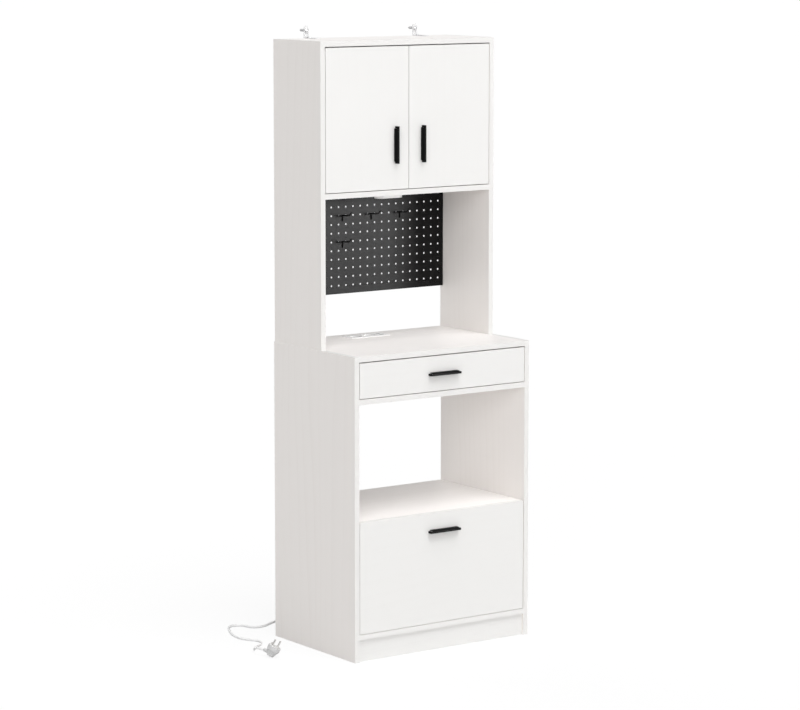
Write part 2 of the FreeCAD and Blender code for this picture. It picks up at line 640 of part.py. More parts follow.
PEG_SCREW_Y = f"{PEG_FRONT} + @peg_flange@ / 2"
PEG_HALF = f"({HUTCH_IN} - @peg_play@)"
for side, word in ((-1, "left"), (1, "right")):
    levels = (f"{PEG_LOW} + @peg_screw_margin@", f"{PEG_TOP} - @peg_screw_margin@")
    for number, level in enumerate(levels, start=1):
        seat = (f"{side} * ({PEG_HALF} - @peg_sheet@)", PEG_SCREW_Y, level)
        wood_screws.append(pan_screw(f"peg_screw_{word}_{number}", "X", seat, -side))
        start = (f"{side} * {HUTCH_IN} - @screw_length@", PEG_SCREW_Y, level)
        side_holes["hutch"][side].append(
            rod(f"peg_screw_bore_{word}_{number}", "X", start,
                "@screw_radius@ + @cam_play@", "2 * @screw_length@"))
add("wood_screws", group("wood_screw_set", wood_screws))

# ---------------------------------------------------------------------------
# Side boards, bored for everything that ends in them
# ---------------------------------------------------------------------------
SIDES = (
    ("base", (f"-{BASE_OUT}", f"-{BASE_IN}"), DEPTH, ("0", "@base_height@")),
    ("hutch", (f"-{HUTCH_OUT}", f"-{HUTCH_IN}"), HUTCH_Y, ("@base_height@", TOP)),
)
for part, x, y, z in SIDES:
    for side, word in ((-1, "left"), (1, "right")):
        blank = box(f"{part}_side_{word}_blank", x if side < 0 else mirrored(x), y, z)
        add(f"{part}_side_{word}",
            cut(f"{part}_side_{word}_board", blank, side_holes[part][side]))
add("cam_discs", group("cam_disc_set", cam_discs))
add("cam_bolts", group("cam_bolt_set", cam_bolts))

# ---------------------------------------------------------------------------
# Handles: a bevelled bar between two lower end feet, hollow behind its face for the fingers
# ---------------------------------------------------------------------------
def plane_of(body, role):
    """One of a body's own origin planes."""
    for plane in body.Origin.OriginFeatures:
        if plane.Role == role:
            return plane
    raise ValueError(f"no plane {role}")


def closed_outline(sketch, points):
    """Lines through the points, joined end to end."""
    ends = list(zip(points, points[1:] + points[:1]))
    for start, end in ends:
        sketch.addGeometry(Part.LineSegment(Vector(*start, 0), Vector(*end, 0)), False)
    count = len(ends)
    for index in range(count):
        sketch.addConstraint(Sketcher.Constraint("Coincident", index, 2,
                                                 (index + 1) % count, 1))


def name_last(sketch, name, expression):
    """Names the sketch's last constraint and binds it to the sheet."""
    sketch.renameConstraint(sketch.ConstraintCount - 1, name)
    sketch.setExpression(f"Constraints.{name}", cells(expression))


def handle_bar(name):
    """The bar of a handle, with its middle on the origin and its back on Y = 0."""
    reach, width, bevel = size("handle_reach"), size("handle_width"), size("handle_bevel")
    body = doc.addObject("PartDesign::Body", name)
    profile = body.newObject("Sketcher::SketchObject", f"{name}_profile")
    profile.AttachmentSupport = [(plane_of(body, "YZ_Plane"), "")]
    profile.MapMode = "FlatFace"
    closed_outline(profile, [(0, -width / 2), (-reach, -width / 2), (-reach, width / 2 - bevel),
                             (-reach + bevel, width / 2), (0, width / 2)])
    for line, direction in ((0, "Horizontal"), (1, "Vertical"), (3, "Horizontal"),
                            (4, "Vertical")):
        profile.addConstraint(Sketcher.Constraint(direction, line))
    profile.addConstraint(Sketcher.Constraint("PointOnObject", 0, 1, -2))
    profile.addConstraint(Sketcher.Constraint("DistanceY", 0, 1, -1, 1, width / 2))
    name_last(profile, "half_width", "@handle_width@ / 2")
    profile.addConstraint(Sketcher.Constraint("DistanceX", 0, 2, 0, 1, reach))
    name_last(profile, "reach", "@handle_reach@")
    profile.addConstraint(Sketcher.Constraint("DistanceY", 4, 2, 4, 1, width))
    name_last(profile, "width", "@handle_width@")
    profile.addConstraint(Sketcher.Constraint("DistanceX", 2, 1, 2, 2, bevel))
    name_last(profile, "bevel_across", "@handle_bevel@")
    profile.addConstraint(Sketcher.Constraint("DistanceY", 2, 1, 2, 2, bevel))
    name_last(profile, "bevel_up", "@handle_bevel@")
    pad = body.newObject("PartDesign::Pad", f"{name}_pad")
    pad.Profile = profile
    pad.setExpression("Length", cells("@handle_length@"))
    pad.Midplane = True
    doc.recompute()
    return body


FOOT_X = (f"-@handle_length@ / 2 - {PAST}", "-@handle_length@ / 2 + @handle_foot@")


def handle(label, place, upright):
    """A handle at a place on its front, lying level or standing upright."""
    bar = handle_bar(f"{label}_bar")
    groove = box(f"{label}_groove",
                 span("0", "@handle_length@ - 2 * @handle_foot@"),
                 ("-@handle_reach@ + @handle_lip@", str(PAST)),
                 (f"-@handle_width@ / 2 - {PAST}", "@handle_width@ / 2 - @handle_web@"))
    corners = [box(f"{label}_corner_{hand}", ends,
                   (f"-@handle_reach@ - {PAST}", str(PAST)),
                   ("@handle_width@ / 2 - @handle_bevel@", f"@handle_width@ / 2 + {PAST}"))
               for hand, ends in (("left", FOOT_X), ("right", mirrored(FOOT_X)))]
    piece = cut(f"{label}_piece", bar, [groove] + corners)
    piece.Placement = FreeCAD.Placement(
        Vector(), Rotation(Vector(0, 1, 0), -90) if upright else Rotation())
    for axis, value in zip("xyz", place):
        piece.setExpression(f".Placement.Base.{axis}", cells(value))
    return add(label, piece)


# ---------------------------------------------------------------------------
# Doors with cup hinges
# ---------------------------------------------------------------------------
DOOR_LOW = "@cupboard_level@ + @front_gap@"
DOOR_HIGH = f"{TOP_LOW} - @top_gap@"
DOOR_OUT = f"({HUTCH_IN} - @front_gap@)"
DOOR_Y = (HUTCH_FRONT, DOOR_BACK)
HINGE_LEVELS = (f"{DOOR_LOW} + @hinge_margin@", f"{DOOR_HIGH} - @hinge_margin@")
CUP_X = f"({DOOR_OUT} - @cup_edge@ - @cup_radius@)"
hinge_arms = []
for side, word in ((-1, "left"), (1, "right")):
    stretch = (f"-{DOOR_OUT}", "-@front_gap@ / 2")
    blank = box(f"door_{word}_blank", stretch if side < 0 else mirrored(stretch), DOOR_Y,
                (DOOR_LOW, DOOR_HIGH))
    cup_floor = f"{DOOR_BACK} - @cup_depth@"
    bores = []
    cups = []
    for number, level in enumerate(HINGE_LEVELS, start=1):
        tag = f"{word}_{number}"
        centre = f"{side} * {CUP_X}"
        bores.append(rod(f"cup_bore_{tag}", "Y", (centre, cup_floor, level),
                         "@cup_radius@ + @cam_play@", f"@cup_depth@ + {PAST}"))
        shell = rod(f"cup_shell_{tag}", "Y", (centre, cup_floor, level),
                    "@cup_radius@", "@cup_depth@")
        flange = box(f"cup_flange_{tag}",
                     (f"{centre} - @cup_radius@ + @cup_wall@",
                      f"{centre} + @cup_radius@ - @cup_wall@"),
                     (DOOR_BACK, f"{DOOR_BACK} + @cup_flange@"),
                     span(level, "2 * @cup_radius@ + 2 * @cup_wing@"))
        hollow = rod(f"cup_hollow_{tag}", "Y", (centre, f"{cup_floor} + @cup_wall@", level),
                     "@cup_radius@ - 2 * @cup_wall@",
                     f"@cup_depth@ + @cup_flange@ + {PAST}")
        # The arm reaches the cup from behind, so the flange is open on the side board's side.
        mouth = box(f"cup_mouth_{tag}",
                    (f"{centre} + {side} * @cup_radius@ / 2 - @cup_radius@ / 2 - {PAST}",
                     f"{centre} + {side} * @cup_radius@ / 2 + @cup_radius@ / 2 + {PAST}"),
                    (DOOR_BACK, f"{DOOR_BACK} + @cup_flange@ + {PAST}"),
                    span(level, "@hinge_arm_width@ + 2 * @hinge_play@"))
        solid = fuse(f"cup_solid_{tag}", [shell, flange])
        doc.recompute()
        cups.append(cut(f"cup_{tag}", solid, [hollow, mouth]))
        plate_x = (f"{side} * {HUTCH_IN}", f"{side} * ({HUTCH_IN} - @hinge_plate@)")
        arm_x = (f"{side} * ({HUTCH_IN} - @hinge_plate@)",
                 f"{side} * ({HUTCH_IN} - @hinge_plate@ - @hinge_arm_height@)")
        nose_x = (f"{side} * ({DOOR_OUT} - @hinge_nose_near@)",
                  f"{side} * ({DOOR_OUT} - @hinge_nose_far@)")
        bridge_x = (f"{side} * ({HUTCH_IN} - @hinge_plate@)", nose_x[1])
        if side > 0:
            plate_x, arm_x, nose_x, bridge_x = (
                tuple(reversed(stretch)) for stretch in (plate_x, arm_x, nose_x, bridge_x))
        behind = f"{DOOR_BACK} + @cup_flange@ + @hinge_play@"
        arm_end = f"{behind} + @hinge_arm_length@"
        plate = box(f"hinge_plate_{tag}", plate_x,
                    (f"{behind} + @hinge_arm_width@", f"{arm_end} - @hinge_link@"),
                    span(level, "@hinge_plate_height@"))
        arm = box(f"hinge_arm_{tag}", arm_x, (behind, arm_end),
                  span(level, "@hinge_arm_width@"))
        bridge = box(f"hinge_bridge_{tag}", bridge_x, (behind, f"{behind} + @hinge_link@"),
                     span(level, "@hinge_arm_width@"))
        nose = box(f"hinge_nose_{tag}", nose_x, (f"{DOOR_BACK} - @hinge_nose_bite@",
                                                 f"{behind} + @hinge_link@"),
                   span(level, "@hinge_arm_width@ - @hinge_link@"))
        hinge_arms.append(fuse(f"hinge_{tag}", [plate, arm, bridge, nose]))
    add(f"door_{word}", cut(f"door_{word}_board", blank, bores))
    add(f"hinge_cups_{word}", group(f"hinge_cup_pair_{word}", cups))
    handle(f"door_handle_{word}",
           (f"{side} * @door_handle_side@", HUTCH_FRONT, "@door_handle_level@"), True)
add("hinge_arms", group("hinge_arm_set", hinge_arms))

# ---------------------------------------------------------------------------
# Drawers on nested runners
# ---------------------------------------------------------------------------
def runners(word, y, level):
    """The outer, middle and inner channels of a drawer's two runners."""
    steel, play, space = "@slide_steel@", "@slide_play@", "@slide_space@"
    step = f"({steel} + {play})"
    outer, middle, inner = [], [], []
    for side, hand in ((-1, "left"), (1, "right")):
        wall = f"{side} * {BASE_IN}"
        inward = -side

        def at(distance):
            return f"{wall} + {inward} * ({distance})"

        sets = (
            (outer, "outer", ("0", steel), ("web", f"{space} - {steel} - 2 * {play} - {steel}"),
             "@slide_height@"),
            (middle, "middle", (step, f"{step} + {steel}"),
             ("web", f"{space} - {steel} - {play}"), f"@slide_height@ - 2 * {step}"),
            (inner, "inner", (f"{space} - {steel}", space),
             (f"2 * {step} + {steel}", "web"), f"@slide_height@ - 4 * {step}"),
        )
        for store, kind, web, rim, height in sets:
            name = f"{word}_{kind}_{hand}"
            opens_out = rim[1] == "web"
            far = (rim[0], web[1]) if opens_out else (web[0], rim[1])
            hollow = ((f"{rim[0]} - {PAST}", web[0]) if opens_out
                      else (web[1], f"{rim[1]} + {PAST}"))
            ends = [at(value) for value in far]
            inside = [at(value) for value in hollow]
            if side > 0:
                ends.reverse()
                inside.reverse()
            block = box(f"{name}_block", ends, y, span(level, height))
            hole = box(f"{name}_hollow", inside, (f"{y[0]} - {PAST}", f"{y[1]} + {PAST}"),
                       span(level, f"({height}) - 2 * {steel}"))
            doc.recompute()
            store.append(cut(name, block, [hole]))
    return outer, middle, inner


def drawer(word, front_z, box_height, box_length, slide_length, handle_level):
    """A drawer: its front, box and handle, with a pair of runners."""
    front_x = (f"-({BASE_IN} - @front_gap@)", f"{BASE_IN} - @front_gap@")
    add(f"{word}_front", box(f"{word}_front_board", front_x, (FRONT, f"{FRONT} + @panel@"),
                             front_z))
    near = f"{FRONT} + @panel@"
    far = f"{near} + {box_length}"
    half = f"({BASE_IN} - @slide_space@)"
    low = f"{front_z[0]} + @box_lift@"
    walls = f"{low} + @box_floor@"
    high = f"{low} + {box_height}"
    left = (f"-{half}", f"-{half} + @box_wall@")
    sides = [box(f"{word}_side_left", left, (near, far), (walls, high)),
             box(f"{word}_side_right", mirrored(left), (near, far), (walls, high))]
    add(f"{word}_sides", group(f"{word}_side_pair", sides))
    inner = (f"-{half} + @box_wall@", f"{half} - @box_wall@")
    add(f"{word}_back", box(f"{word}_back_blank", inner, (f"{far} - @box_wall@", far),
                            (walls, high)))
    add(f"{word}_bottom", box(f"{word}_bottom_blank", (f"-{half}", half), (near, far),
                              (low, walls)))
    handle(f"{word}_handle", ("0", FRONT, handle_level), False)
    slide_y = (f"{near} + @slide_setback@", f"{near} + @slide_setback@ + {slide_length}")
    level = f"{walls} + ({high} - ({walls})) / 2"
    outer, middle, inner_rails = runners(word, slide_y, level)
    add(f"{word}_runners_middle", group(f"{word}_middle_pair", middle))
    add(f"{word}_runners_inner", group(f"{word}_inner_pair", inner_rails))
    return outer


DRAWER_Z = (f"{RAIL_TOP} + @front_gap@", f"{COUNTER_LOW} - @top_gap@")
DEEP_Z = (f"{FLOOR_BOARD} + @deep_front_gap@", "@shelf_level@")
fixed_rails = drawer("drawer", DRAWER_Z, "@drawer_box_height@", "@drawer_box_length@",
                     "@drawer_slide_length@", f"({DRAWER_Z[0]} + {DRAWER_Z[1]}) / 2")
fixed_rails += drawer("deep_drawer", DEEP_Z, "@deep_box_height@", "@deep_box_length@",
                      "@deep_slide_length@", f"{DEEP_Z[1]} - @deep_handle_drop@")
add("runners_outer", group("runner_outer_set", fixed_rails))

# ---------------------------------------------------------------------------
# Lamp under the hutch's shelf
# ---------------------------------------------------------------------------
LAMP_Y = f"{HUTCH_FRONT} + @lamp_setback@"


def stadium(name, length, width, z):
    """A block with half-round ends, lying along X under the hutch's shelf."""
    straight = f"({length}) - ({width})"
    middle = box(f"{name}_middle", span("0", straight), span(LAMP_Y, width), z)
    ends = []
    for side, hand in ((-1, "left"), (1, "right")):
        ends.append(rod(f"{name}_end_{hand}", "Z", (f"{side} * ({straight}) / 2", LAMP_Y, z[0]),
                        f"({width}) / 2", f"({z[1]}) - ({z[0]})"))
    solid = fuse(name, [middle] + ends)
    doc.recompute()
    return solid


LAMP_LOW = f"({CUPBOARD_LOW} - @lamp_height@)"
shell = stadium("lamp_shell", "@lamp_length@", "@lamp_width@", (LAMP_LOW, CUPBOARD_LOW))
pocket = stadium("lamp_pocket", "@lamp_length@ - 2 * @lamp_rim@", "@lamp_width@ - 2 * @lamp_rim@",
                 (f"{LAMP_LOW} - {PAST}", f"{LAMP_LOW} + @lamp_lens@"))
add("lamp_housing", cut("lamp_body", shell, [pocket]))
lens = stadium("lamp_lens_blank", "@lamp_length@ - 2 * @lamp_rim@",
               "@lamp_width@ - 2 * @lamp_rim@", (LAMP_LOW, f"{LAMP_LOW} + @lamp_lens@"))
eye = rod("lamp_sensor_bore", "Z", ("0", LAMP_Y, f"{LAMP_LOW} - {PAST}"), "@lamp_sensor@",
          f"@lamp_lens@ + 2 * {PAST}")
add("lamp_diffuser", cut("lamp_lens_piece", lens, [eye]))
add("lamp_sensor", rod("lamp_sensor_disc", "Z", ("0", LAMP_Y, LAMP_LOW), "@lamp_sensor@",
                       "@lamp_lens@"))

# ---------------------------------------------------------------------------
# Power outlet in the counter
# ---------------------------------------------------------------------------
PLATE_TOP = "@base_height@ + @outlet_plate@"
BODY_LOW = "@base_height@ - @outlet_body@"
plate = box("outlet_plate_block", OUTLET_X, OUTLET_Y, ("@base_height@", PLATE_TOP))
body = box("outlet_body_block", BODY_X, BODY_Y, (BODY_LOW, "@base_height@"))
housing = fuse("outlet_blank", [plate, body])
SOCKET_Y = f"({OUTLET_Y[0]} + {OUTLET_Y[1]}) / 2"
SOCKET_X = (f"{OUTLET_X[0]} + @socket_first@",
            f"{OUTLET_X[0]} + @socket_first@ + @socket_pitch@")
SOCKET_LOW = f"{PLATE_TOP} - @socket_depth@"
INSERT_R = "@socket_radius@ + @socket_wall@"
cavities = []
inserts = []
contacts = []
for number, centre in enumerate(SOCKET_X, start=1):
    cavities.append(rod(f"socket_cavity_{number}", "Z",
                        (centre, SOCKET_Y, f"{SOCKET_LOW} - @socket_wall@"), INSERT_R,
                        f"@socket_depth@ + @socket_wall@ + {PAST}"))
    cup = rod(f"socket_cup_{number}", "Z", (centre, SOCKET_Y, f"{SOCKET_LOW} - @socket_wall@"),
              INSERT_R, "@socket_depth@ + @socket_wall@")
    recess = rod(f"socket_recess_{number}", "Z", (centre, SOCKET_Y, SOCKET_LOW),
                 "@socket_radius@", f"@socket_depth@ + {PAST}")
    pin_holes = [
        rod(f"pin_hole_{number}_{hand}", "Z",
            (f"{centre} + {side} * @pin_spacing@ / 2", SOCKET_Y,
             f"{SOCKET_LOW} - @socket_wall@ - {PAST}"),
            "@pin_bore@", f"@socket_wall@ + 2 * {PAST}")
        for side, hand in ((-1, "left"), (1, "right"))]
    doc.recompute()
    inserts.append(cut(f"socket_insert_{number}", cup, [recess] + pin_holes))
    for side, hand in ((-1, "front"), (1, "rear")):
        wall = (f"{SOCKET_Y} + {side} * (@socket_radius@ - @socket_wall@)",
                f"{SOCKET_Y} + {side} * (@socket_radius@ - @cup_wall@ / 2)")
        if side < 0:
            wall = tuple(reversed(wall))
        contacts.append(box(f"earth_clip_{number}_{hand}", span(centre, "@handle_foot@"), wall,
                            (SOCKET_LOW, f"{PLATE_TOP} - @socket_wall@")))
USB_X = f"{OUTLET_X[1]} - @usb_offset@"
ports = []
for side, hand in ((-1, "front"), (1, "rear")):
    row = f"{SOCKET_Y} + {side} * @usb_pitch@ / 2"
    rim_x = span(USB_X, "@usb_width@ + 2 * @cup_wall@")
    rim_y = span(row, "@usb_slot@ + 2 * @cup_wall@")
    cavities.append(box(f"usb_cavity_{hand}", rim_x, rim_y,
                        (f"{SOCKET_LOW} + @socket_wall@", f"{PLATE_TOP} + {PAST}")))
    shell = box(f"usb_shell_{hand}", rim_x, rim_y, (f"{SOCKET_LOW} + @socket_wall@", PLATE_TOP))
    slot = box(f"usb_slot_{hand}", span(USB_X, "@usb_width@"), span(row, "@usb_slot@"),
               (f"{SOCKET_LOW} + 2 * @socket_wall@", f"{PLATE_TOP} + {PAST}"))
    doc.recompute()
    ports.append(cut(f"usb_port_{hand}", shell, [slot]))
doc.recompute()
add("outlet_housing", cut("outlet_case", housing, cavities))
add("socket_inserts", group("socket_insert_pair", inserts))
add("earth_clips", group("earth_clip_set", contacts))
add("usb_ports", group("usb_port_pair", ports))

# ---------------------------------------------------------------------------
# Mains cord, its strain relief and its plug
# ---------------------------------------------------------------------------
GLAND_START = BODY_Y[1]
collar = rod("gland_collar", "Y", (GLAND_X, GLAND_START, GLAND_LEVEL),
             "@gland_radius@ - @cam_play@", f"{BACK} - ({GLAND_START}) + @gland_collar@")
tail = doc.addObject("Part::Cone", "gland_tail")
tail.Placement = FreeCAD.Placement(Vector(), TURNS["Y"])
tail.setExpression("Radius1", cells("@gland_radius@ - @gland_step@"))
tail.setExpression("Radius2", cells("@cord_radius@ + @gland_wall@"))
tail.setExpression("Height", cells("@gland_reach@ - @gland_collar@"))
for axis, value in zip("xyz", (GLAND_X, f"{BACK} + @gland_collar@", GLAND_LEVEL)):
    tail.setExpression(f".Placement.Base.{axis}", cells(value))
add("cord_gland", fuse("gland_piece", [collar, tail]))

# Points along the cord, from the strain relief behind the back down to the floor and
# out to the plug. X is counted from the grommet, Y from the cabinet's back.
CORD_FALL = (
    (0, 22, 816), (0, 50, 816), (-2, 76, 797), (-7, 92, 756), (-14, 98, 680),
    (-20, 98, 592), (-24, 94, 502), (-26, 89, 412), (-27, 84, 322), (-28, 82, 232),
    (-29, 85, 150), (-33, 92, 84), (-42, 106, 36), (-60, 124, 9.5), (-92, 142, 3.4),
)
# From here on X is counted from the base's left side.
CORD_FLOOR = (
    (132, 156, 3.3), (76, 134, 3.3), (32, 106, 3.3), (-8, 110, 3.3), (-15, 158, 3.3),
    (-55, 167, 3.3), (-83, 116, 3.3), (-104, 66, 3.3), (-108, 22, 3.3), (-94, -10, 3.3),
    (-76, -40, 3.3), (-96, -74, 3.3), (-130, -95, 3.3), (-155, -125, 5),
    (-167.6, -155.7, 20.9), (-157.8, -181.7, 18.1),
)


def cord_points():
    """The cord's route in the cabinet's frame."""
    route = [Vector(places.gland_x + x, places.back + y, z) for x, y, z in CORD_FALL]
    route += [Vector(-places.base_out + x, places.back + y, z) for x, y, z in CORD_FLOOR]
    return route


def cord_shape():
    """The cord's tube, checked against its section times its length."""
    points = cord_points()
    path, radii = rounded_path(points)
    radius = size("cord_radius")
    tube = tube_along(path, points, radius)
    expected = math.pi * radius ** 2 * path.Length
    if abs(tube.Volume / expected - 1) > 0.01:
        raise ValueError("the cord's tube isn't its section times its length")
    print(f"cord length {path.Length:.0f} mm, radii from {min(radii):.0f} mm:",
          " ".join(f"{value:.0f}" for value in radii))
    print(f"cord lowest point {tube.optimalBoundingBox(False).ZMin:.2f} mm")
    return tube


add("cord", feature("mains_cord", cord_shape()))

# The plug leans on the edge of its back, with its round face turned up and to the right.
PLUG_LEAN = Vector(0.39, -0.27, 0.88)
PLUG_ROW = Vector(0.917, 0.064, -0.389)


def plug_shapes():
    """The plug's moulded body, its two pins and its two earth strips."""
    points = cord_points()
    end = points[-1]
    lean = Vector(PLUG_LEAN).normalize()
    run = (end - points[-2]).normalize() * size("plug_length")
    back = end + run - lean * size("plug_entry")
    back.z = size("plug_tail") * math.sqrt(1 - lean.z ** 2) + size("plug_lift")
    face = back + lean * size("plug_depth")
    depth = size("plug_depth") - size("plug_thickness")
    head = Part.makeCylinder(size("plug_radius"), size("plug_thickness"),
                             back + lean * depth, lean)
    grip = Part.makeCone(size("plug_tail"), size("plug_radius"), depth, back, lean)
    neck = Part.makeCone(size("cord_radius") + size("gland_wall"), size("plug_neck"),
                         run.Length, end, run)
    body = head.fuse(grip).fuse(neck).removeSplitter()
    across = (PLUG_ROW - lean * PLUG_ROW.dot(lean)).normalize()
    other = lean.cross(across).normalize()
    pins = [Part.makeCylinder(size("pin_radius"), size("pin_spacing"),
                              face + across * (side * size("pin_spacing") / 2), lean)
            for side in (-1, 1)]
    strips = []
    width, metal = size("strip_width"), size("strip_metal")
    for side in (-1, 1):
        strip = Part.makeBox(width, metal, size("strip_height"))
        out = side * (size("plug_radius") - size("strip_inset")) - metal / 2
        corner = face + other * out - across * (width / 2)
        strip.Placement = FreeCAD.Placement(corner, Rotation(across, other, lean, "XYZ"))
        strips.append(strip)
    return body, Part.Compound(pins), Part.Compound(strips)


plug_body, plug_pins, plug_strips = plug_shapes()
add("plug_body", feature("plug_moulding", plug_body))
add("plug_pins", feature("plug_pin_pair", plug_pins))
add("plug_earth_strips", feature("plug_strip_pair", plug_strips))

# ---------------------------------------------------------------------------
# Check every object, then write one file for each piece
# ---------------------------------------------------------------------------
doc.recompute()
for item in doc.Objects:
    if "Invalid" in item.State or "Error" in item.State:
        raise ValueError(f"{item.Name} failed: {item.State}")
for piece in pieces:
    if piece.Shape.isNull() or not piece.Shape.isValid():
        raise ValueError(f"{piece.Label} has no valid shape")
    if not piece.Shape.Solids:
        raise ValueError(f"{piece.Label} holds no solid")

os.makedirs("parts", exist_ok=True)
for piece in pieces:
    piece.Shape.exportStep(os.path.join("parts", f"{piece.Label}.step"))
print(f"{len(pieces)} nodes, {sum(len(piece.Shape.Solids) for piece in pieces)} solids")
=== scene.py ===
"""Looks of a tall kitchen cabinet with a microwave bay, a pegboard and a mains outlet.

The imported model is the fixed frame. This script gives its boards, steel, plastic and wire
their finishes, adds the small hardware that plain solids leave out, lays the mains cord,
and sets up the floor, the light and the camera. All lengths are in metres.
"""

import json
import logging
import math
from dataclasses import dataclass
from enum import Enum
from typing import Iterable, Sequence

import bmesh
import bpy
from mathutils import Matrix, Vector

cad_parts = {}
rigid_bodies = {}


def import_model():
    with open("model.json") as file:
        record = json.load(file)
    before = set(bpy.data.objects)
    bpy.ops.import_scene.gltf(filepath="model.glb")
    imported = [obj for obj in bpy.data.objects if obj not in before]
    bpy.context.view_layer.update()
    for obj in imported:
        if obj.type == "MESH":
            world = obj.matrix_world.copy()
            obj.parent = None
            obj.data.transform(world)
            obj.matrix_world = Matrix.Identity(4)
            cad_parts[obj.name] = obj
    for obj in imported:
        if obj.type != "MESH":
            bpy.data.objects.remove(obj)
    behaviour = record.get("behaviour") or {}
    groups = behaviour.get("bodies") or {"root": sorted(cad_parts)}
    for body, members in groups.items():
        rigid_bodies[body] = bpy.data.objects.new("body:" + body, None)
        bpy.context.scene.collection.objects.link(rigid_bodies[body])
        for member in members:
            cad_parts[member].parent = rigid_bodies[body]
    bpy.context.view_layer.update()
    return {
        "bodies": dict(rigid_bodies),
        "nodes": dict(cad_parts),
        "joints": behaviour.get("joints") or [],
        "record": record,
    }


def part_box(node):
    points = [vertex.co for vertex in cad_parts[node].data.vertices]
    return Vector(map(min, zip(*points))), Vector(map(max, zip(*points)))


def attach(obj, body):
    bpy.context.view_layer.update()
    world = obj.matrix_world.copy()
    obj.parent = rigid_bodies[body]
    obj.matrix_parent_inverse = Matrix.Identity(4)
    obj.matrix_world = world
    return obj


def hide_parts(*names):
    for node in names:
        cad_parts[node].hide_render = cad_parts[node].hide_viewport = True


LOG = logging.getLogger("cabinet")
SAME_POINT = 1e-6
# Edges that turn more than this are eased on the frame's nodes.
EASED_FROM = math.radians(50)
# Edges that turn more than this are shaded sharp on added pieces.
SHARP_FROM = math.radians(38)
# How finely a wire's bends and its rounded ends are divided.
BEND_STEPS = 6
END_STEPS = 5

LEFT = Vector((-1.0, 0.0, 0.0)).freeze()
RIGHT = Vector((1.0, 0.0, 0.0)).freeze()
BACK = Vector((0.0, 1.0, 0.0)).freeze()
UP = Vector((0.0, 0.0, 1.0)).freeze()
DOWN = Vector((0.0, 0.0, -1.0)).freeze()

Colour = tuple[float, float, float]
Value = bpy.types.NodeSocket | float | tuple[float, ...]


class Body(Enum):
    """The bodies of the frame that pieces ride on."""

    CARCASS = "carcass"
    LEFT_DOOR = "left_door"
    RIGHT_DOOR = "right_door"
    DRAWER = "drawer"
    DEEP_DRAWER = "deep_drawer"


class Slot(Enum):
    """The record's material slots."""

    HOOK = "hook_steel"
    ZINC = "zinc"
    SCREW = "screw_steel"
    CONTACT = "contact_metal"
    PORT = "usb_black"
    CORD = "cord_white"
    WALL_PLUG = "wall_plug_grey"


class GrainRun(Enum):
    """Which way the printed wood grain of a board runs."""

    UPRIGHT = "upright"
    LEVEL = "level"


class BroadFace(Enum):
    """The axis that a board's broad faces look along; EVERY leaves no banded edge and no
    painted edge shade.
    """

    SIDE = (1.0, 0.0, 0.0)
    FRONT = (0.0, 1.0, 0.0)
    FLAT = (0.0, 0.0, 1.0)
    EVERY = (1.0, 1.0, 1.0)


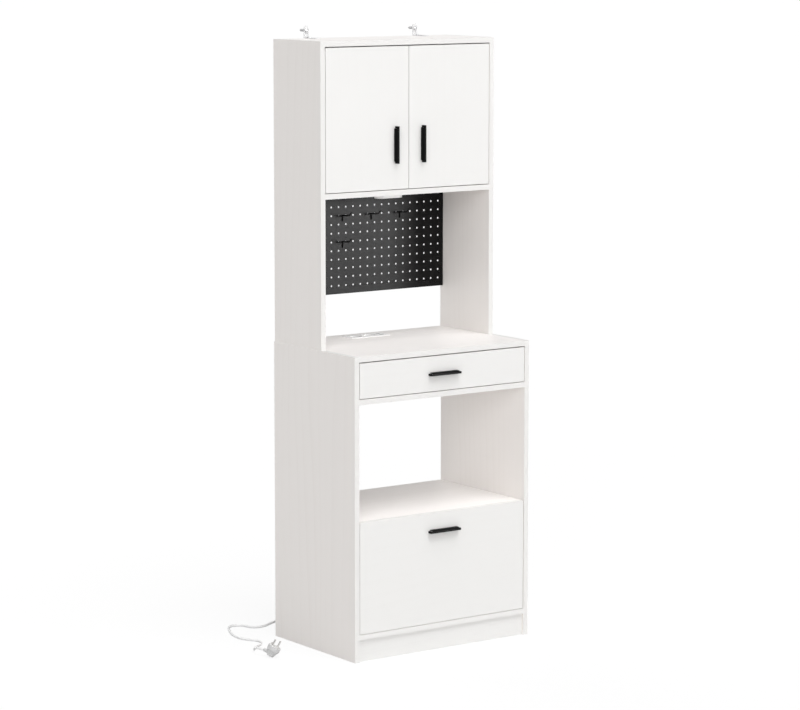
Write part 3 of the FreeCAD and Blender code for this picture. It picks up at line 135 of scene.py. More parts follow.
# ---------------------------------------------------------------------------
# Shader sheets and the effects that finishes share
# ---------------------------------------------------------------------------
class NodeSheet:
    """A node tree with short ways to add and join its nodes."""

    def __init__(self, tree: bpy.types.NodeTree) -> None:
        """Keeps the tree that the nodes go into."""
        self.tree = tree

    def add(self, kind: str, **settings: object) -> bpy.types.Node:
        """Adds a node and sets its plain properties.

        Args:
            kind: The node's type, such as ShaderNodeMath.
            **settings: Properties of the node by name.

        Returns:
            The new node.
        """
        node = self.tree.nodes.new(kind)
        for name, value in settings.items():
            setattr(node, name, value)
        return node

    def feed(self, socket: bpy.types.NodeSocket, value: Value) -> None:
        """Links an input to another node's output, or gives it a plain value.

        Args:
            socket: The input.
            value: The output that feeds it, or its plain value.
        """
        if isinstance(value, bpy.types.NodeSocket):
            self.tree.links.new(value, socket)
        else:
            socket.default_value = value

    def math(self, operation: str, *values: Value) -> bpy.types.NodeSocket:
        """Adds a math node.

        Args:
            operation: The node's operation, such as MULTIPLY.
            *values: What its inputs get, in order.

        Returns:
            The node's output.
        """
        node = self.add("ShaderNodeMath", operation=operation)
        for socket, value in zip(node.inputs, values):
            self.feed(socket, value)
        return node.outputs[0]

    def stretch(self, place: Value, scale: tuple[float, float, float]) -> bpy.types.NodeSocket:
        """Multiplies a place by a scale along each axis.

        Args:
            place: The place.
            scale: The factor along each axis.

        Returns:
            The scaled place.
        """
        node = self.add("ShaderNodeVectorMath", operation="MULTIPLY")
        self.feed(node.inputs[0], place)
        node.inputs[1].default_value = scale
        return node.outputs[0]

    def noise(self, place: Value, scale: Value, detail: float) -> bpy.types.NodeSocket:
        """Adds a noise texture.

        Args:
            place: Where the texture is looked up.
            scale: How many patches it has to the metre.
            detail: How many finer layers it has.

        Returns:
            Its value from 0 to 1.
        """
        node = self.add("ShaderNodeTexNoise")
        self.feed(node.inputs["Vector"], place)
        self.feed(node.inputs["Scale"], scale)
        node.inputs["Detail"].default_value = detail
        return node.outputs["Fac"]

    def ramp(self, value: Value, low: float, high: float) -> bpy.types.NodeSocket:
        """Stretches a range over 0 to 1, held at both ends.

        Args:
            value: What is stretched.
            low: The value that becomes 0.
            high: The value that becomes 1.

        Returns:
            The stretched value.
        """
        node = self.add("ShaderNodeMapRange", clamp=True)
        self.feed(node.inputs["Value"], value)
        node.inputs["From Min"].default_value = low
        node.inputs["From Max"].default_value = high
        return node.outputs["Result"]

    def blend(self, share: Value, first: Colour | bpy.types.NodeSocket,
              second: Colour) -> bpy.types.NodeSocket:
        """Mixes two colours by a share that changes over the surface.

        Args:
            share: How much of the second colour shows, from 0 to 1.
            first: The first colour, plain or from another node.
            second: The second colour.

        Returns:
            The mixed colour.
        """
        node = self.add("ShaderNodeMix", data_type="RGBA")
        self.feed(node.inputs["Factor"], share)
        if isinstance(first, bpy.types.NodeSocket):
            self.feed(node.inputs["A"], first)
        else:
            node.inputs["A"].default_value = (*first, 1.0)
        node.inputs["B"].default_value = (*second, 1.0)
        return node.outputs["Result"]

    def place_group(self, group: bpy.types.NodeTree, **values: Value) -> bpy.types.Node:
        """Places a shared group and gives its inputs their values.

        Args:
            group: The shared node group.
            **values: What the named inputs get; an underscore stands for a space.

        Returns:
            The group's node.
        """
        node = self.add("ShaderNodeGroup", node_tree=group)
        for name, value in values.items():
            self.feed(node.inputs[name.replace("_", " ")], value)
        return node


class SharedEffect:
    """A shader node group under construction, with named inputs and outputs."""

    FLOAT = "NodeSocketFloat"
    VECTOR = "NodeSocketVector"

    def __init__(self, name: str, inputs: dict[str, str], outputs: Sequence[str]) -> None:
        """Opens a group.

        Args:
            name: The group's name.
            inputs: The kind of each input socket, by its name.
            outputs: The names of its outputs, all plain values.
        """
        self.tree = bpy.data.node_groups.new(name, "ShaderNodeTree")
        for label, kind in inputs.items():
            self.tree.interface.new_socket(name=label, in_out="INPUT", socket_type=kind)
        for label in outputs:
            self.tree.interface.new_socket(name=label, in_out="OUTPUT",
                                           socket_type=self.FLOAT)
        self.sheet = NodeSheet(self.tree)
        self.given = self.sheet.add("NodeGroupInput").outputs
        self.result = self.sheet.add("NodeGroupOutput").inputs


@dataclass(frozen=True)
class AshFigure:
    """The figure of ash: scales count patches to the metre, and a draw lengthens them."""

    ring_draw: float = 0.16
    ring_wander: float = 4.2
    ring_sharpness: float = 3.0
    ring_share: float = 0.55
    patch_scale: float = 9.0
    patch_range: tuple[float, float] = (0.35, 0.65)
    pore_draw: float = 0.03
    pore_scale: float = 420.0
    pore_range: tuple[float, float] = (0.50, 0.72)
    pore_spread: float = 0.3
    pore_share: float = 0.6


@dataclass(frozen=True)
class GritFigure:
    """Two layers of fine bumps, the finer one given against the coarser."""

    fine_ratio: float = 2.7
    fine_share: float = 0.45
    tone_range: tuple[float, float] = (0.36, 0.64)


class Effects:
    """The shader groups that several finishes use, each built once."""

    # The cosine to a broad face at which the banded edge and its painted shade start, and
    # where they are whole.
    BROAD_FROM = 0.75
    EDGE_FROM = 0.45
    # How many clouds of gloss there are to the metre.
    CLOUD_SCALE = 11.0

    def __init__(self) -> None:
        """Builds the groups."""
        self.ash_grain = self._ash_grain(AshFigure())
        self.edge_band_and_shade = self._edge_band_and_shade()
        self.grit = self._grit(GritFigure())
        self.mottle = self._mottle()

    @staticmethod
    def _ash_grain(ash: AshFigure) -> bpy.types.NodeTree:
        """Draws growth rings and pores of ash along the place's third axis.

        Args:
            ash: How the figure is spaced.

        Returns:
            The shared group.
        """
        effect = SharedEffect("Ash grain", {"Place": SharedEffect.VECTOR,
                                            "Ring Width": SharedEffect.FLOAT,
                                            "Sway": SharedEffect.FLOAT},
                              ("Tone", "Height"))
        sheet, given = effect.sheet, effect.given
        slow = sheet.stretch(given["Place"], (1.0, 1.0, ash.ring_draw))
        warp = sheet.math("SUBTRACT", sheet.noise(slow, ash.ring_wander, 1.5), 0.5)
        across = sheet.add("ShaderNodeSeparateXYZ")
        sheet.feed(across.inputs[0], given["Place"])
        swayed = sheet.math("MULTIPLY_ADD", warp, given["Sway"], across.outputs["X"])
        turns = sheet.math("FRACT", sheet.math("DIVIDE", swayed, given["Ring Width"]))
        late_wood = sheet.math("POWER", turns, ash.ring_sharpness)
        fibres = sheet.stretch(given["Place"], (1.0, 1.0, ash.pore_draw))
        pores = sheet.ramp(sheet.noise(fibres, ash.pore_scale, 2.0), *ash.pore_range)
        patches = sheet.ramp(sheet.noise(slow, ash.patch_scale, 1.0), *ash.patch_range)
        gathered = sheet.math("MULTIPLY_ADD", late_wood, 1.0 - ash.pore_spread,
                              ash.pore_spread)
        ring_tone = sheet.math("MULTIPLY", late_wood,
                               sheet.math("MULTIPLY", patches, ash.ring_share))
        pore_tone = sheet.math("MULTIPLY", sheet.math("MULTIPLY", pores, gathered),
                               ash.pore_share)
        sheet.feed(effect.result["Tone"], sheet.math("ADD", ring_tone, pore_tone))
        sheet.feed(effect.result["Height"], sheet.math("SUBTRACT", 1.0, pore_tone))
        return effect.tree

    def _edge_band_and_shade(self) -> bpy.types.NodeTree:
        """Marks with 1 where a surface looks away from a board's broad faces.

        Returns:
            The shared group.
        """
        effect = SharedEffect("Edge band and painted shade", {"Normal": SharedEffect.VECTOR,
                                              "Broad Face": SharedEffect.VECTOR}, ("Mask",))
        sheet, given = effect.sheet, effect.given
        facing_share = sheet.add("ShaderNodeVectorMath", operation="DOT_PRODUCT")
        sheet.feed(facing_share.inputs[0], given["Normal"])
        sheet.feed(facing_share.inputs[1], given["Broad Face"])
        along = sheet.math("ABSOLUTE", facing_share.outputs["Value"])
        sheet.feed(effect.result["Mask"], sheet.ramp(along, self.BROAD_FROM, self.EDGE_FROM))
        return effect.tree

    @staticmethod
    def _grit(figure: GritFigure) -> bpy.types.NodeTree:
        """Strews the fine bumps of powder coat or of an eroded mould.

        Args:
            figure: How the two layers of bumps are mixed.

        Returns:
            The shared group.
        """
        effect = SharedEffect("Fine grit", {"Place": SharedEffect.VECTOR,
                                            "Grain": SharedEffect.FLOAT}, ("Tone", "Height"))
        sheet, given = effect.sheet, effect.given
        coarse_scale = sheet.math("DIVIDE", 1.0, given["Grain"])
        coarse = sheet.noise(given["Place"], coarse_scale, 1.0)
        fine_scale = sheet.math("DIVIDE", figure.fine_ratio, given["Grain"])
        fine = sheet.noise(given["Place"], fine_scale, 2.0)
        coarse_part = sheet.math("MULTIPLY", coarse, 1.0 - figure.fine_share)
        both = sheet.math("MULTIPLY_ADD", fine, figure.fine_share, coarse_part)
        sheet.feed(effect.result["Tone"], sheet.ramp(both, *figure.tone_range))
        sheet.feed(effect.result["Height"], both)
        return effect.tree

    def _mottle(self) -> bpy.types.NodeTree:
        """Clouds the gloss slowly, as handling and cleaning leave it.

        Returns:
            The shared group.
        """
        effect = SharedEffect("Gloss mottle", {"Place": SharedEffect.VECTOR,
                                               "Gloss": SharedEffect.FLOAT,
                                               "Spread": SharedEffect.FLOAT}, ("Roughness",))
        sheet, given = effect.sheet, effect.given
        cloud = sheet.noise(given["Place"], self.CLOUD_SCALE, 3.0)
        centred = sheet.math("SUBTRACT", cloud, 0.5)
        level = sheet.math("MULTIPLY_ADD", centred, given["Spread"], given["Gloss"])
        sheet.feed(effect.result["Roughness"], level)
        return effect.tree


class Coating:
    """A material under construction: its sheet, its shader and its texture places."""

    def __init__(self, name: str) -> None:
        """Opens a new material with one plain shader.

        Args:
            name: The material's name.
        """
        self.material = bpy.data.materials.new(name)
        self.material.use_nodes = True
        tree = self.material.node_tree
        tree.nodes.clear()
        self.sheet = NodeSheet(tree)
        self.shader = self.sheet.add("ShaderNodeBsdfPrincipled")
        self.output = self.sheet.add("ShaderNodeOutputMaterial")
        self.sheet.feed(self.output.inputs["Surface"], self.shader.outputs["BSDF"])
        where = self.sheet.add("ShaderNodeTexCoord")
        self.place = where.outputs["Object"]
        self.normal = where.outputs["Normal"]

    def set(self, name: str, value: Value) -> None:
        """Gives one of the shader's inputs a value or a link."""
        self.sheet.feed(self.shader.inputs[name], value)

    def cloud_gloss(self, effects: Effects, gloss: float, spread: float) -> None:
        """Gives the shader a gloss that changes slowly over the surface.

        Args:
            effects: The shared shader groups.
            gloss: The middle roughness.
            spread: How far the roughness strays over the surface.
        """
        mottle = self.sheet.place_group(effects.mottle, Place=self.place, Gloss=gloss,
                                        Spread=spread)
        self.set("Roughness", mottle.outputs["Roughness"])

    def emboss(self, height: bpy.types.NodeSocket, depth: float, strength: float) -> None:
        """Presses a height into the shading.

        Args:
            height: The height from 0 to 1.
            depth: The real depth of the relief in metres.
            strength: How much of it shows, from 0 to 1.
        """
        bump = self.sheet.add("ShaderNodeBump")
        bump.inputs["Strength"].default_value = strength
        bump.inputs["Distance"].default_value = depth
        self.sheet.feed(bump.inputs["Height"], height)
        self.set("Normal", bump.outputs["Normal"])


@dataclass(frozen=True)
class BoardFinish:
    """White melamine with an embossed ash print and plain banded edges, whose darker colour is
    partly painted shade.
    """

    name: str
    colour: Colour
    broad_face: BroadFace
    grain_run: GrainRun
    figure: float = 0.10
    ring_width: float = 0.034
    sway: float = 0.20
    relief: float = 0.00012
    relief_share: float = 0.6
    gloss: float = 0.42
    gloss_spread: float = 0.10
    specular: float = 0.25
    grain_colour: Colour = (0.52, 0.46, 0.41)
    # The edge band's colour, darker than the face partly as painted shade that takes back the
    # lamps' light on the edges.
    edge_band_and_shade_colour: Colour = (0.79, 0.78, 0.764)

    def make(self, effects: Effects) -> bpy.types.Material:
        """Builds the material.

        Args:
            effects: The shared shader groups.

        Returns:
            The material.
        """
        coating = Coating(self.name)
        sheet = coating.sheet
        parts = sheet.add("ShaderNodeSeparateXYZ")
        sheet.feed(parts.inputs[0], coating.place)
        x, y, z = (parts.outputs[axis] for axis in "XYZ")
        across, along = (sheet.math("ADD", x, y), z)
        if self.grain_run is GrainRun.LEVEL:
            across, along = (sheet.math("ADD", z, y), x)
        grain_place = sheet.add("ShaderNodeCombineXYZ")
        sheet.feed(grain_place.inputs["X"], across)
        sheet.feed(grain_place.inputs["Z"], along)
        grain = sheet.place_group(effects.ash_grain, Place=grain_place.outputs[0],
                                  Ring_Width=self.ring_width, Sway=self.sway)
        edge = sheet.place_group(effects.edge_band_and_shade, Normal=coating.normal,
                                 Broad_Face=self.broad_face.value)
        shown = sheet.math("SUBTRACT", 1.0, edge.outputs["Mask"])
        tone = sheet.math("MULTIPLY", grain.outputs["Tone"], shown)
        share = sheet.math("MULTIPLY", tone, self.figure)
        face = sheet.blend(share, self.colour, self.grain_colour)
        # The edges take the edge band's colour, darkened partly as painted shade.
        coating.set("Base Color", sheet.blend(edge.outputs["Mask"], face, self.edge_band_and_shade_colour))
        coating.cloud_gloss(effects, self.gloss, self.gloss_spread)
        coating.set("Specular IOR Level", self.specular)
        height = sheet.math("MULTIPLY", grain.outputs["Height"], shown)
        coating.emboss(height, self.relief, self.relief_share)
        return coating.material


@dataclass(frozen=True)
class MouldedFinish:
    """Paint, powder coat or moulded plastic: one colour with a fine grit in it."""

    name: str
    colour: Colour
    gloss: float
    grain: float = 0.0006
    tone_spread: float = 0.05
    relief: float = 0.00004
    relief_share: float = 0.8
    gloss_spread: float = 0.12
    specular: float = 0.5
    coat: float = 0.0

    def make(self, effects: Effects) -> bpy.types.Material:
        """Builds the material.

        Args:
            effects: The shared shader groups.

        Returns:
            The material.
        """
        coating = Coating(self.name)
        sheet = coating.sheet
        grit = sheet.place_group(effects.grit, Place=coating.place, Grain=self.grain)
        darker = tuple(channel * (1.0 - self.tone_spread) for channel in self.colour)
        lighter = tuple(channel * (1.0 + self.tone_spread) for channel in self.colour)
        coating.set("Base Color", sheet.blend(grit.outputs["Tone"], darker, lighter))
        coating.cloud_gloss(effects, self.gloss, self.gloss_spread)
        coating.set("Specular IOR Level", self.specular)
        coating.set("Coat Weight", self.coat)
        coating.emboss(grit.outputs["Height"], self.relief, self.relief_share)
        return coating.material


@dataclass(frozen=True)
class MetalFinish:
    """Bare or plated metal with drawn or tumbled marks."""

    name: str
    colour: Colour
    gloss: float
    drawn: tuple[float, float, float] = (1.0, 1.0, 1.0)
    mark: float = 0.0005
    worn_tone: float = 0.82
    gloss_spread: float = 0.16
    relief: float = 0.00002
    relief_share: float = 0.5

    def make(self, effects: Effects) -> bpy.types.Material:
        """Builds the material.

        Args:
            effects: The shared shader groups.

        Returns:
            The material.
        """
        coating = Coating(self.name)
        sheet = coating.sheet
        stretched = sheet.stretch(coating.place, self.drawn)
        grit = sheet.place_group(effects.grit, Place=stretched, Grain=self.mark)
        worn = tuple(channel * self.worn_tone for channel in self.colour)
        coating.set("Base Color", sheet.blend(grit.outputs["Tone"], worn, self.colour))
        coating.set("Metallic", 1.0)
        coating.cloud_gloss(effects, self.gloss, self.gloss_spread)
        coating.emboss(grit.outputs["Height"], self.relief, self.relief_share)
        return coating.material


BOARD_WHITE: Colour = (0.885, 0.853, 0.828)
# The side boards' white made lighter for the level boards: painted light on the boards that
# face up.
SHELF_WHITE_PAINTED_LIGHT: Colour = (0.945, 0.918, 0.9)
# The side boards' white made darker for the fronts: painted shade that takes back the lamps'
# light on the boards that face front.
FRONT_WHITE_PAINTED_SHADE: Colour = (0.80, 0.793, 0.779)
SHADE_WHITE: Colour = (0.90, 0.88, 0.858)
COAT_BLACK: Colour = (0.004, 0.004, 0.0042)


class Finishes:
    """Every finish of the cabinet, made once and handed out by name."""

    def __init__(self, effects: Effects) -> None:
        """Makes the materials.

        Args:
            effects: The shared shader groups.
        """
        boards = (
            BoardFinish("side_boards", BOARD_WHITE, BroadFace.SIDE, GrainRun.UPRIGHT),
            BoardFinish("level_boards", SHELF_WHITE_PAINTED_LIGHT, BroadFace.FLAT, GrainRun.LEVEL),
            BoardFinish("toe_boards", FRONT_WHITE_PAINTED_SHADE, BroadFace.FRONT, GrainRun.LEVEL),
            BoardFinish("drawer_fronts", FRONT_WHITE_PAINTED_SHADE, BroadFace.FRONT, GrainRun.LEVEL,
                        figure=0.03),
            BoardFinish("doors", FRONT_WHITE_PAINTED_SHADE, BroadFace.FRONT, GrainRun.UPRIGHT, figure=0.03),
            BoardFinish("back_boards", SHADE_WHITE, BroadFace.FRONT, GrainRun.UPRIGHT,
                        figure=0.05, relief=0.00005),
            BoardFinish("drawer_boxes", SHADE_WHITE, BroadFace.EVERY, GrainRun.LEVEL,
                        figure=0.04, relief=0.00004, gloss=0.5),
        )
        coats = (
            MouldedFinish("handle_black", COAT_BLACK, 0.40, grain=0.0005,
                          tone_spread=0.25, relief=0.00002, specular=0.05),
            MouldedFinish("pegboard_black", COAT_BLACK, 0.38, grain=0.0016,
                          tone_spread=0.35, relief=0.00012, specular=0.18),
            MouldedFinish("hook_black", COAT_BLACK, 0.38, tone_spread=0.2,
                          specular=0.1),
            MouldedFinish("lamp_white", (0.88, 0.88, 0.875), 0.34, relief=0.00002),
            MouldedFinish("lamp_lens", (0.93, 0.93, 0.915), 0.45, tone_spread=0.02,
                          relief=0.00002),
            MouldedFinish("lamp_touch", (0.60, 0.60, 0.61), 0.30),
            MouldedFinish("outlet_white", (0.90, 0.90, 0.895), 0.38, relief=0.00003),
            MouldedFinish("socket_white", (0.90, 0.90, 0.895), 0.16, tone_spread=0.02,
                          relief=0.00001, coat=0.3),
            MouldedFinish("port_grey", (0.30, 0.30, 0.31), 0.4),
            MouldedFinish("port_black", (0.015, 0.015, 0.016), 0.4),
            MouldedFinish("cord_vinyl", (0.84, 0.84, 0.84), 0.40, grain=0.0009,
                          relief=0.00003),
            MouldedFinish("plug_vinyl", (0.62, 0.62, 0.62), 0.36, grain=0.0007,
                          relief=0.00003),
            MouldedFinish("bracket_white", (0.60, 0.60, 0.605), 0.40, grain=0.0008,
                          relief=0.00005),
            MouldedFinish("wall_plug_grey", (0.48, 0.48, 0.49), 0.45),
        )
        metals = (
            MetalFinish("plated_zinc", (0.66, 0.67, 0.68), 0.30, mark=0.0007),
            MetalFinish("runner_zinc", (0.62, 0.63, 0.64), 0.34, drawn=(1.0, 0.04, 1.0)),
            MetalFinish("screw_steel", (0.60, 0.60, 0.61), 0.30),
            MetalFinish("contact_nickel", (0.80, 0.79, 0.77), 0.28),
            MetalFinish("contact_gold", (0.72, 0.55, 0.26), 0.25),
        )
        self.by_name = {finish.name: finish.make(effects)
                        for finish in boards + coats + metals}

    def __getitem__(self, name: str) -> bpy.types.Material:
        """Gives the material of that name."""
        return self.by_name[name]


# ---------------------------------------------------------------------------
# Reading the frame
# ---------------------------------------------------------------------------
@dataclass(frozen=True)
class Solid:
    """One closed piece of a node, by its points and its box."""

    points: tuple[Vector, ...]
    low: Vector
    high: Vector

    @property
    def middle(self) -> Vector:
        """The middle of the solid's box."""
        return (self.low + self.high) / 2

    @property
    def reach(self) -> Vector:
        """The solid's size along each axis."""
        return self.high - self.low


def solids_of(node: bpy.types.Object) -> list[Solid]:
    """Splits a node's mesh into its closed pieces.

    Args:
        node: A node of the frame.

    Returns:
        The pieces, sorted by the middle of their boxes.
    """
    mesh = bmesh.new()
    mesh.from_mesh(node.data)
    bmesh.ops.remove_doubles(mesh, verts=mesh.verts, dist=SAME_POINT)
    mesh.verts.ensure_lookup_table()
    seen: set[int] = set()
    found = []
    for start in mesh.verts:
        if start.index in seen:
            continue
        seen.add(start.index)
        cluster = [start]
        for vert in cluster:
            for edge in vert.link_edges:
                other = edge.other_vert(vert)
                if other.index not in seen:
                    seen.add(other.index)
                    cluster.append(other)
        points = tuple(vert.co.copy() for vert in cluster)
        low = Vector(tuple(min(point[axis] for point in points) for axis in range(3)))
        high = Vector(tuple(max(point[axis] for point in points) for axis in range(3)))
        found.append(Solid(points, low, high))
    mesh.free()
    return sorted(found, key=lambda solid: tuple(round(value, 5) for value in solid.middle))


class Cabinet:
    """The loaded frame and what every sub-assembly needs to dress it."""

    def __init__(self, frame: dict, finishes: Finishes) -> None:
        """Keeps the frame's nodes and the finishes."""
        self.nodes: dict[str, bpy.types.Object] = frame["nodes"]
        self.finishes = finishes

    def dress(self, names: Iterable[str], finish: str, rounding: float = 0.0) -> None:
        """Gives nodes a finish and rounds their sharp edges a little.

        Args:
            names: The nodes' names.
            finish: The name of the finish.
            rounding: The radius of the edges, or 0 to leave them.
        """
        for name in names:
            node = self.nodes[name]
            for slot in node.material_slots:
                slot.material = self.finishes[finish]
            if rounding > 0.0:
                self._soften(node, rounding)
            LOG.info("dressed %s with %s", name, finish)

    @staticmethod
    def _soften(node: bpy.types.Object, radius: float) -> None:
        """Rounds a node's sharp edges with modifiers, which leave its mesh as it is.

        Args:
            node: The node.
            radius: The radius of its edges.
        """
        weld = node.modifiers.new("joined_faces", "WELD")
        weld.merge_threshold = SAME_POINT
        bevel = node.modifiers.new("eased_edges", "BEVEL")
        bevel.width = radius
        bevel.segments = 2
        bevel.limit_method = "ANGLE"
        bevel.angle_limit = EASED_FROM
        bevel.use_clamp_overlap = True
        shading = node.modifiers.new("flat_faces", "WEIGHTED_NORMAL")
        shading.weight = 100


# ---------------------------------------------------------------------------
# Making pieces
# ---------------------------------------------------------------------------
def into_scene(name: str, data: bpy.types.ID) -> bpy.types.Object:
    """Makes an object and links it into the scene.

    Args:
        name: The object's name.
        data: Its mesh, curve, light or camera.

    Returns:
        The new object.
    """
    piece = bpy.data.objects.new(name, data)
    bpy.context.scene.collection.objects.link(piece)
    return piece


@dataclass(frozen=True)
class CrossRecess:
    """A cross-shaped driver recess in the middle of a turned face."""

    reach: float
    half_width: float
    depth: float

    @classmethod
    def in_head(cls, shares: tuple[float, float, float], radius: float,
                height: float) -> "CrossRecess":
        """A recess sized by shares of a head's radius, radius and height."""
        reach, half_width, depth = shares
        return cls(radius * reach, radius * half_width, height * depth)

    def sink(self, radius: float, angle: float) -> float:
        """Tells how deep the recess is at a point of the face.

        Args:
            radius: The point's distance from the middle.
            angle: Its angle round the middle.

        Returns:
            The depth, or 0 beside the recess.
        """
        quarter = math.pi / 2
        off_arm = abs(angle - quarter * round(angle / quarter))
        inside = radius < self.reach and radius * math.sin(off_arm) <= self.half_width
        return self.depth if inside else 0.0


def facing(origin: Vector, direction: Vector) -> Matrix:
    """A pose whose Z axis points along a direction.

    Args:
        origin: Where the pose stands.
        direction: Where its Z axis points.

    Returns:
        The pose as a 4 by 4 matrix.
    """
    turn = direction.to_track_quat("Z", "Y").to_matrix().to_4x4()
    return Matrix.Translation(origin) @ turn


def bent_line(points: Sequence[Vector], bend: float) -> list[Vector]:
    """Rounds the corners of a line with tangent arcs.

    Args:
        points: The line's corners, its ends among them.
        bend: The radius of the arcs.

    Returns:
        Points along the rounded line.
    """
    line = [points[0]]
    for before, corner, after in zip(points, points[1:], points[2:]):
        back = (before - corner).normalized()
        ahead = (after - corner).normalized()
        set_back = bend / math.tan(back.angle(ahead) / 2)
        start, end = corner + back * set_back, corner + ahead * set_back
        for step in range(BEND_STEPS + 1):
            share = step / BEND_STEPS
            first = start.lerp(corner, share)
            second = corner.lerp(end, share)
            line.append(first.lerp(second, share))
    line.append(points[-1])
    return line


class Workpiece:
    """A mesh under construction, which turned, swept and block forms are added to."""

    def __init__(self) -> None:
        """Opens an empty mesh."""
        self.mesh = bmesh.new()

    def turned(self, profile: Sequence[tuple[float, float]], pose: Matrix,
               steps: int = 32, recess: CrossRecess | None = None) -> None:
        """Adds a turned form about the pose's Z axis.

        Args:
            profile: Pairs of radius and height, from one end to the other.
            pose: Where the form stands.
            steps: How many sides it has.
            recess: A driver recess that is sunk into the rings after the widest one.
        """
        widest = max(range(len(profile)), key=lambda index: profile[index][0])
        rings = []
        for index, (radius, height) in enumerate(profile):
            count = 1 if radius == 0.0 else steps
            ring = []
            for step in range(count):
                angle = 2 * math.pi * step / count
                sunk = recess.sink(radius, angle) if recess and index > widest else 0.0
                spot = Vector((radius * math.cos(angle), radius * math.sin(angle),
                               height - sunk))
                ring.append(self.mesh.verts.new(pose @ spot))
            rings.append(ring)
        self._skin(rings)

    def swept(self, line: Sequence[Vector], radii: Sequence[float], steps: int = 14) -> None:
        """Adds a round tube along a line.

        Args:
            line: Points along the tube's middle.
            radii: The tube's radius at each point.
            steps: How many sides it has.
        """
        rings = []
        side = None
        for index, (point, radius) in enumerate(zip(line, radii)):
            before = line[max(index - 1, 0)]
            after = line[min(index + 1, len(line) - 1)]
            along = (after - before).normalized()
            if side is None:
                side = along.orthogonal().normalized()
            side = (side - along * side.dot(along)).normalized()
            up = along.cross(side)
            ring = []
            for step in range(steps):
                angle = 2 * math.pi * step / steps
                offset = side * math.cos(angle) + up * math.sin(angle)
                ring.append(self.mesh.verts.new(point + offset * radius))
            rings.append(ring)
        self._skin(rings)

    def wire(self, points: Sequence[Vector], radius: float, bend: float = 0.0) -> None:
        """Adds a wire with rounded ends and bent corners.

        Args:
            points: The wire's ends and corners.
            radius: The wire's radius.
            bend: The radius of its bends.
        """
        line = bent_line(points, bend) if len(points) > 2 else list(points)
        quarter = [math.pi / 2 * step / END_STEPS for step in range(1, END_STEPS)]
        first = (line[1] - line[0]).normalized() * radius
        last = (line[-2] - line[-1]).normalized() * radius
        start = [line[0] + first * (1 - math.sin(turn)) for turn in reversed(quarter)]
        end = [line[-1] + last * (1 - math.sin(turn)) for turn in quarter]
        start_radii = [radius * math.cos(turn) for turn in reversed(quarter)]
        end_radii = [radius * math.cos(turn) for turn in quarter]
        middle = [line[0] + first] + list(line[1:-1]) + [line[-1] + last]
        self.swept(start + middle + end, start_radii + [radius] * len(middle) + end_radii)

    def block(self, low: Vector, high: Vector, rounding: float) -> None:
        """Adds a block between two corners, with rounded edges.

        Args:
            low: Its lowest corner.
            high: Its highest corner.
            rounding: The radius of its edges.
        """
        size, middle = high - low, (high + low) / 2
        pose = Matrix.Translation(middle) @ Matrix.Diagonal((*size, 1.0))
        made = bmesh.ops.create_cube(self.mesh, size=1.0, matrix=pose)
        edges = list({edge for vert in made["verts"] for edge in vert.link_edges})
        bmesh.ops.bevel(self.mesh, geom=edges, offset=rounding, segments=2, profile=0.5,
                        affect="EDGES")

    def _skin(self, rings: Sequence[Sequence[bmesh.types.BMVert]]) -> None:
        """Joins rings of points with faces and closes both ends.

        Args:
            rings: The rings in order; a ring of one point is a tip.
        """
        for lower, upper in zip(rings, rings[1:]):
            count = max(len(lower), len(upper))
            for step in range(count):
                after = (step + 1) % count
                if len(lower) == 1:
                    self.mesh.faces.new((lower[0], upper[after], upper[step]))
                elif len(upper) == 1:
                    self.mesh.faces.new((lower[step], lower[after], upper[0]))
                else:
                    self.mesh.faces.new((lower[step], lower[after], upper[after],
                                         upper[step]))
        for ring in (rings[0], rings[-1]):
            if len(ring) > 1:
                self.mesh.faces.new(ring)

    def made(self, name: str, material: bpy.types.Material, body: Body, slot: Slot,
             replaced: Sequence[str] = ()) -> bpy.types.Object:
        """Turns the mesh into a piece that rides on a body.

        Args:
            name: The piece's name.
            material: Its finish.
            body: The body that it rides on.
            slot: The record's slot named for it; not used.
            replaced: The nodes that it stands for.

        Returns:
            The new object.
        """
        bmesh.ops.recalc_face_normals(self.mesh, faces=self.mesh.faces)
        data = bpy.data.meshes.new(name)
        self.mesh.to_mesh(data)
        self.mesh.free()
        data.polygons.foreach_set("use_smooth", [True] * len(data.polygons))
        data.set_sharp_from_angle(angle=SHARP_FROM)
        data.materials.append(material)
        piece = into_scene(name, data)
        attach(piece, body.value)
        if replaced:
            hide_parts(*replaced)
        LOG.info("made %s, %d faces", name, len(data.polygons))
        return piece


# Heads of screws, up to the middle, as shares of their radius and height.
PAN_HEAD = ((1.0, 0.0), (1.0, 0.30), (0.97, 0.52), (0.88, 0.74), (0.74, 0.90), (0.58, 0.98),
            (0.54, 0.99), (0.40, 1.0), (0.26, 1.0), (0.13, 1.0), (0.0, 1.0))
FLAT_HEAD = ((0.0, -1.0), (0.9, -1.0), (1.0, 0.0), (0.97, 0.55), (0.86, 0.95),
             (0.60, 1.0), (0.56, 1.0), (0.40, 1.0), (0.24, 1.0), (0.0, 1.0))


